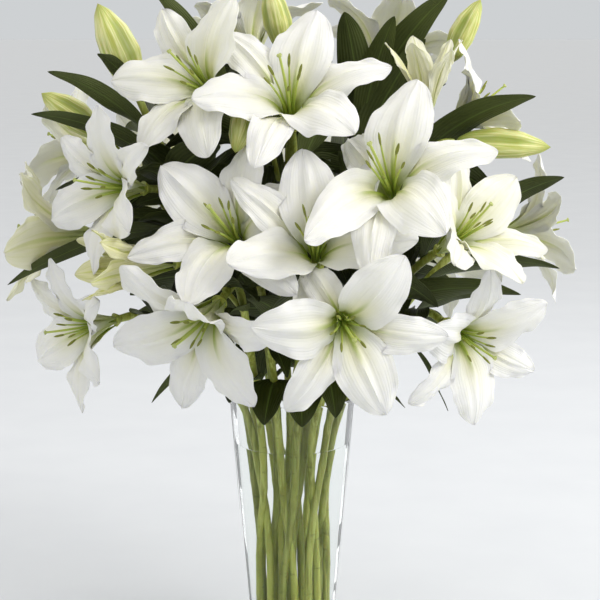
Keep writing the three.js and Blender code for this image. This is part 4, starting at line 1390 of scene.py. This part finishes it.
def leaf_form(leaf, bend, s, v, fine=0.0, phase=0.0):
    """Points of a leaf and the direction of its upper face, in millimetres."""
    line, ahead, normal = leaf_line(leaf, bend, s)
    rounding, power = LEAF_TIP_POWERS
    taper = smooth(s, *LEAF_WIDENS) ** LEAF_ROOT_POWER
    taper = taper * np.clip(1 - s**rounding, 0, 1) ** (power - FINER_TIP * fine)
    half = np.where((s > 0) & (s < 1), leaf.width / 2 * taper, 0)
    ripple = np.abs(v) ** LEAF_WAVE["power"] * hump(s, LEAF_WAVE["rise"], LEAF_WAVE["fall"])
    ripple = ripple * np.sin(LEAF_WAVE["pace"] * s + phase + 0.8 * np.sign(v))
    groove = np.exp(-((v / LEAF_GROOVE["width"]) ** 2)) * (1 - s)
    detail = LEAF_WAVE["height"] * ripple - LEAF_GROOVE["depth"] * groove
    height = LEAF_FOLD * half * v * v + fine * detail
    across = np.cross(ahead, normal)
    return line - across * (v * half)[:, None] + normal * height[:, None], normal


def node_of(leaf):
    """Stems two by two share a node."""
    return f"stems_{[stem.head for stem in STEMS].index(leaf.head) // 2 + 1}"


def leaf_bend(leaf):
    corners = packed_corners(node_of(leaf))
    s, v = check_points(LEAF_CHECK_ROW)
    tried = []
    for bend in itertools.product(RAISES, SWINGS):
        tried.append((misfit(*leaf_form(leaf, bend, s, v), LEAF_THICKNESS, corners), bend))
    return min(tried)


leaf_bends = [leaf_bend(leaf) for leaf in LEAVES]
print("worst misfit of a leaf, mm:", round(max(found[0] for found in leaf_bends), 4))

# %% [markdown]
# Stems and stalks are tubes along the lines. Cutting each corner a few times rounds it, and stays close to
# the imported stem. A stem swells a little where leaves once grew. Leaves are blanks shaped and given
# thickness like the petals. Everything of one pair of stems is put together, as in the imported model.

# %% The stems and leaves
STEM_RADIUS = 3.75
STALK_RADIUS = 2.5
STEM_ROUNDNESS = 4
STEM_SHADES = (0, 0.45)
LEAF_AGES = (0.1, 1)
FULL_WAVE = 6.28
CORNER_CUTS = 3
STEP_ALONG = 4
JOINT_EVERY = 38
JOINT_SWELL = 0.09
JOINT_LENGTH = 5


def rounded(points):
    """Cuts every corner of a run of points, several times over."""
    for _ in range(CORNER_CUTS):
        cut = [points[0]]
        for a, b in zip(points, points[1:]):
            cut += [a.lerp(b, 0.25), a.lerp(b, 0.75)]
        points = [*cut, points[-1]]
    return points


def grown(line, radius):
    """A line in even steps, with a radius at each that swells where a leaf once grew."""
    places = np.array([tuple(point) for point in rounded(line.corners())])
    reached = added_up(np.linalg.norm(np.diff(places, axis=0), axis=1))
    even = np.linspace(0, reached[-1], max(2, round(reached[-1] / STEP_ALONG)))
    points = np.stack([np.interp(even, reached, column) for column in places.T], axis=1)
    from_joint = (even + dice.uniform(0, JOINT_EVERY)) % JOINT_EVERY - JOINT_EVERY / 2
    radii = radius * (1 + JOINT_SWELL * np.exp(-((from_joint / JOINT_LENGTH) ** 2)))
    return points, radii


def make_stem(stem):
    """A stem with its side stalks, and a random darkening of its skin: partly a tone of its own, partly
    painted shade.
    """
    line = stem_lines[stem.head]
    runs = [grown(line, STEM_RADIUS)]
    runs += [grown(stalk_line(line, name), STALK_RADIUS) for name in stem.sides]
    piece = tube("stem", runs, stem_skin, STEM_ROUNDNESS)
    note(piece.data, "shade", dice.uniform(*STEM_SHADES))
    return piece


def make_leaf(leaf, bend, ages_and_shade):
    piece = copy_of(leaf_blank)
    points, _ = leaf_form(leaf, bend, leaf_s, leaf_v, 1.0, dice.uniform(0, FULL_WAVE))
    place_corners(piece.data, points)
    # The age also carries painted shade: inner leaves draw low values, so their green is darker.
    note(piece.data, "age_and_shade", dice.uniform(*ages_and_shade))
    return piece


def make_blades(leaves, ages_and_shade):
    """Leaves with the bends that they took, put together and given their thickness."""
    sheets = [make_leaf(leaf, bend, ages_and_shade) for leaf, bend in leaves]
    return fleshed("blades", sheets, leaf_under, leaf_top, LEAF_THICKNESS, 0)


def make_green(number):
    """One node of green: two stems, their side stalks and all their leaves."""
    stems = [make_stem(stem) for stem in STEMS[2 * number : 2 * number + 2]]
    node = f"stems_{number + 1}"
    own = [(leaf, bend) for leaf, (_, bend) in zip(LEAVES, leaf_bends) if node_of(leaf) == node]
    return joined(f"green_{number + 1}", [*stems, make_blades(own, LEAF_AGES)])


greens = [make_green(number) for number in range(len(STEMS) // 2)]
print("faces of green:", sum(len(green.data.polygons) for green in greens))

# %% [markdown]
# Looked at closely, a bouquet is dark with leaves wherever no petal is in front. Each stem keeps many small
# leaves below its head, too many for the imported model. Here they are drawn by lot with a fixed seed: a place
# on a stem, a way out and a size. A draw counts only if the leaf stays inside the cloud of blooms and a
# coarse sheet of it cuts through nothing, which a tree of all faces answers quickly.

# %% The inner foliage
INNER_LEAVES = 210
DRAWS = 9000
INNER_ROOTS = (0.44, 0.97)
INNER_LENGTHS = (58, 118)
INNER_WIDTHS = (24, 40)
# Inner leaves draw lower ages than the outer ones. Their darker green is painted shade of the inside of the
# bouquet.
INNER_SHADED_AGES = (-0.6, 0.5)
INNER_OUTWARD = (0, 0.9)
INNER_SCATTER = (1, 1, 0.7)
CLOUD_MIDDLE = np.array([8, -15, 445])
CLOUD_REACH = np.array([222, 200, 190])
CLOUD_DEPTHS = (0.35, 0.98)
TEST_GRID = (5, 12)
TEST_STRETCH = (0.1, 0.99)
STRAIGHT = (0, 0)


def tree_of(pieces):
    """A search tree of the faces of several pieces, in metres."""
    corners = []
    faces = []
    for piece in pieces:
        first = len(corners)
        corners += [corner.co.copy() for corner in piece.data.vertices]
        faces += [[first + i for i in face.vertices] for face in piece.data.polygons]
    return BVHTree.FromPolygons(corners, faces)


def test_sheet(leaf):
    """The corners of a coarse leaf without its root in millimetres, and its faces."""
    columns, rows = TEST_GRID
    s = np.repeat(np.linspace(*TEST_STRETCH, rows), columns)
    v = np.tile(np.linspace(-1, 1, columns), rows)
    faces = []
    for row, column in itertools.product(range(rows - 1), range(columns - 1)):
        corner = row * columns + column
        faces.append((corner, corner + 1, corner + columns + 1, corner + columns))
    return leaf_form(leaf, STRAIGHT, s, v)[0], faces


def drawn_leaf():
    """One leaf drawn by lot."""
    head = dice.choice(STEMS).head
    share = dice.uniform(*INNER_ROOTS)
    root = stem_lines[head].at_length(share)
    outward = (root - Vector(CLOUD_MIDDLE)).normalized()
    chance = Vector([dice.gauss(0, spread) for spread in INNER_SCATTER]).normalized()
    way = (outward * dice.uniform(*INNER_OUTWARD) + chance).normalized()
    return Leaf(head, share, tuple(root + way * dice.uniform(*INNER_LENGTHS)), dice.uniform(*INNER_WIDTHS))


def inner_leaves():
    packed = tree_of([*blooms, *stamens, *buds, *greens])
    corners = []
    faces = []
    found = []
    for _ in range(DRAWS):
        leaf = drawn_leaf()
        points, sheet = test_sheet(leaf)
        depth = np.linalg.norm((points - CLOUD_MIDDLE) / CLOUD_REACH, axis=1).max()
        if not CLOUD_DEPTHS[0] < depth < CLOUD_DEPTHS[1] or points[:, 2].min() < VASE_HEIGHT:
            continue
        places = [Vector(point) * MM for point in points]
        blade = BVHTree.FromPolygons(places, sheet)
        if blade.overlap(packed):
            continue
        if faces and blade.overlap(BVHTree.FromPolygons(corners, faces)):
            continue
        faces += [[len(corners) + i for i in face] for face in sheet]
        corners += places
        found.append(leaf)
        if len(found) == INNER_LEAVES:
            break
    return found


inner = inner_leaves()
for number, green in enumerate(greens):
    node = f"stems_{number + 1}"
    own = [(leaf, STRAIGHT) for leaf in inner if node_of(leaf) == node]
    if own:
        green = joined(green.name, [green, make_blades(own, INNER_SHADED_AGES)])
    hand_over(green, node)
print("inner leaves:", len(inner))

# %% [markdown]
# The vase was pressed in a mould: a straight taper with a heavy floor. By hand it starts as a solid tapered
# bar. A ring is inset on its top for the wall, and the middle is pushed down to the floor. Below, the foot
# is hollowed a little, so that the vase stands on a ring and doesn't rock. Then the rim is rounded all
# over, and the outer edge of the foot and the bottom of the inside get soft edges.

# %% The vase
MOUTH_RADIUS = 63
FOOT_RADIUS = 42
VASE_WALL = 5
VASE_SIDES = 128
FOOT_RING = 7
FOOT_HOLLOW = 2.4
SAME_HEIGHT = 0.01
LEVEL_FACE = 0.9
CRISP_ANGLE = 40

# Soft edges: the radii between which the edge lies, the width of the rounding and its steps.
RIM = ((50, 70), 2.2, 6)
FOOT_EDGE = ((40, 50), 2.5, 5)
INSIDE_EDGE = ((20, 50), 6, 6)


def wall_radius(height):
    """The outer radius of the vase at a height."""
    return lerp(FOOT_RADIUS, MOUTH_RADIUS, height / VASE_HEIGHT)


def is_top(_, face):
    return face.normal.z > LEVEL_FACE


def soften(height, edge):
    """Rounds the edges that lie round the vase at one height, between two radii."""
    (least, most), width, steps = edge

    def is_ring(middle, line):
        level = all(abs(corner.co.z - height * MM) < SAME_HEIGHT * MM for corner in line.verts)
        return level and least * MM < middle.xy.length < most * MM

    take(is_ring, "edges")
    bevel(width, steps)


def make_vase():
    vase = round_block("glass_vase", 0, VASE_HEIGHT, FOOT_RADIUS, MOUTH_RADIUS, VASE_SIDES)
    with editing(vase):
        take(is_top)
        bpy.ops.mesh.inset(thickness=VASE_WALL * MM)
        bpy.ops.mesh.extrude_region_move()
        shift(0, 0, VASE_FLOOR - VASE_HEIGHT)
        widen((wall_radius(VASE_FLOOR) - VASE_WALL) / (MOUTH_RADIUS - VASE_WALL))
        take(lambda middle, face: face.normal.z < -LEVEL_FACE and middle.z < MM)
        bpy.ops.mesh.inset(thickness=FOOT_RING * MM)
        bpy.ops.mesh.inset(thickness=FOOT_RING * MM)
        shift(0, 0, FOOT_HOLLOW)
        soften(VASE_HEIGHT, RIM)
        soften(0, FOOT_EDGE)
        soften(VASE_FLOOR, INSIDE_EDGE)
    vase.data.materials.append(glass)
    return hand_over(vase, "vase", CRISP_ANGLE)


vase = make_vase()
print("faces of the vase:", len(vase.data.polygons))

# %% [markdown]
# The water fills about four fifths of the vase. It reaches a hair into the glass instead of stopping short
# of it: a film of air between the two would mirror the light like silver, which real water doesn't. It
# creeps up the glass at its edge, so its rim is raised in a small meniscus.

# %% The water
WATER_LEVEL = 210
INTO_GLASS = 0.05
MENISCUS = ((0.6, 0.5), (1.2, 0.4), (2.0, 0.2))


def make_water():
    low = VASE_FLOOR - INTO_GLASS
    bottom, top = (wall_radius(height) - VASE_WALL + INTO_GLASS for height in (low, WATER_LEVEL))
    water = round_block("water_body", low, WATER_LEVEL, bottom, top, VASE_SIDES)
    with editing(water):
        take(is_top)
        for width, drop in MENISCUS:
            bpy.ops.mesh.inset(thickness=width * MM)
            shift(0, 0, -drop)
        soften(low, INSIDE_EDGE)
    water.data.materials.append(clear_water)
    return hand_over(water, "water", CRISP_ANGLE)


water = make_water()
print("faces of the water:", len(water.data.polygons))

# %% [markdown]
# The models and blanks have served, and they are taken away.

# %% Clearing up
for model in (petal_blank, leaf_blank, seat, anther, stigma):
    bpy.data.objects.remove(model)
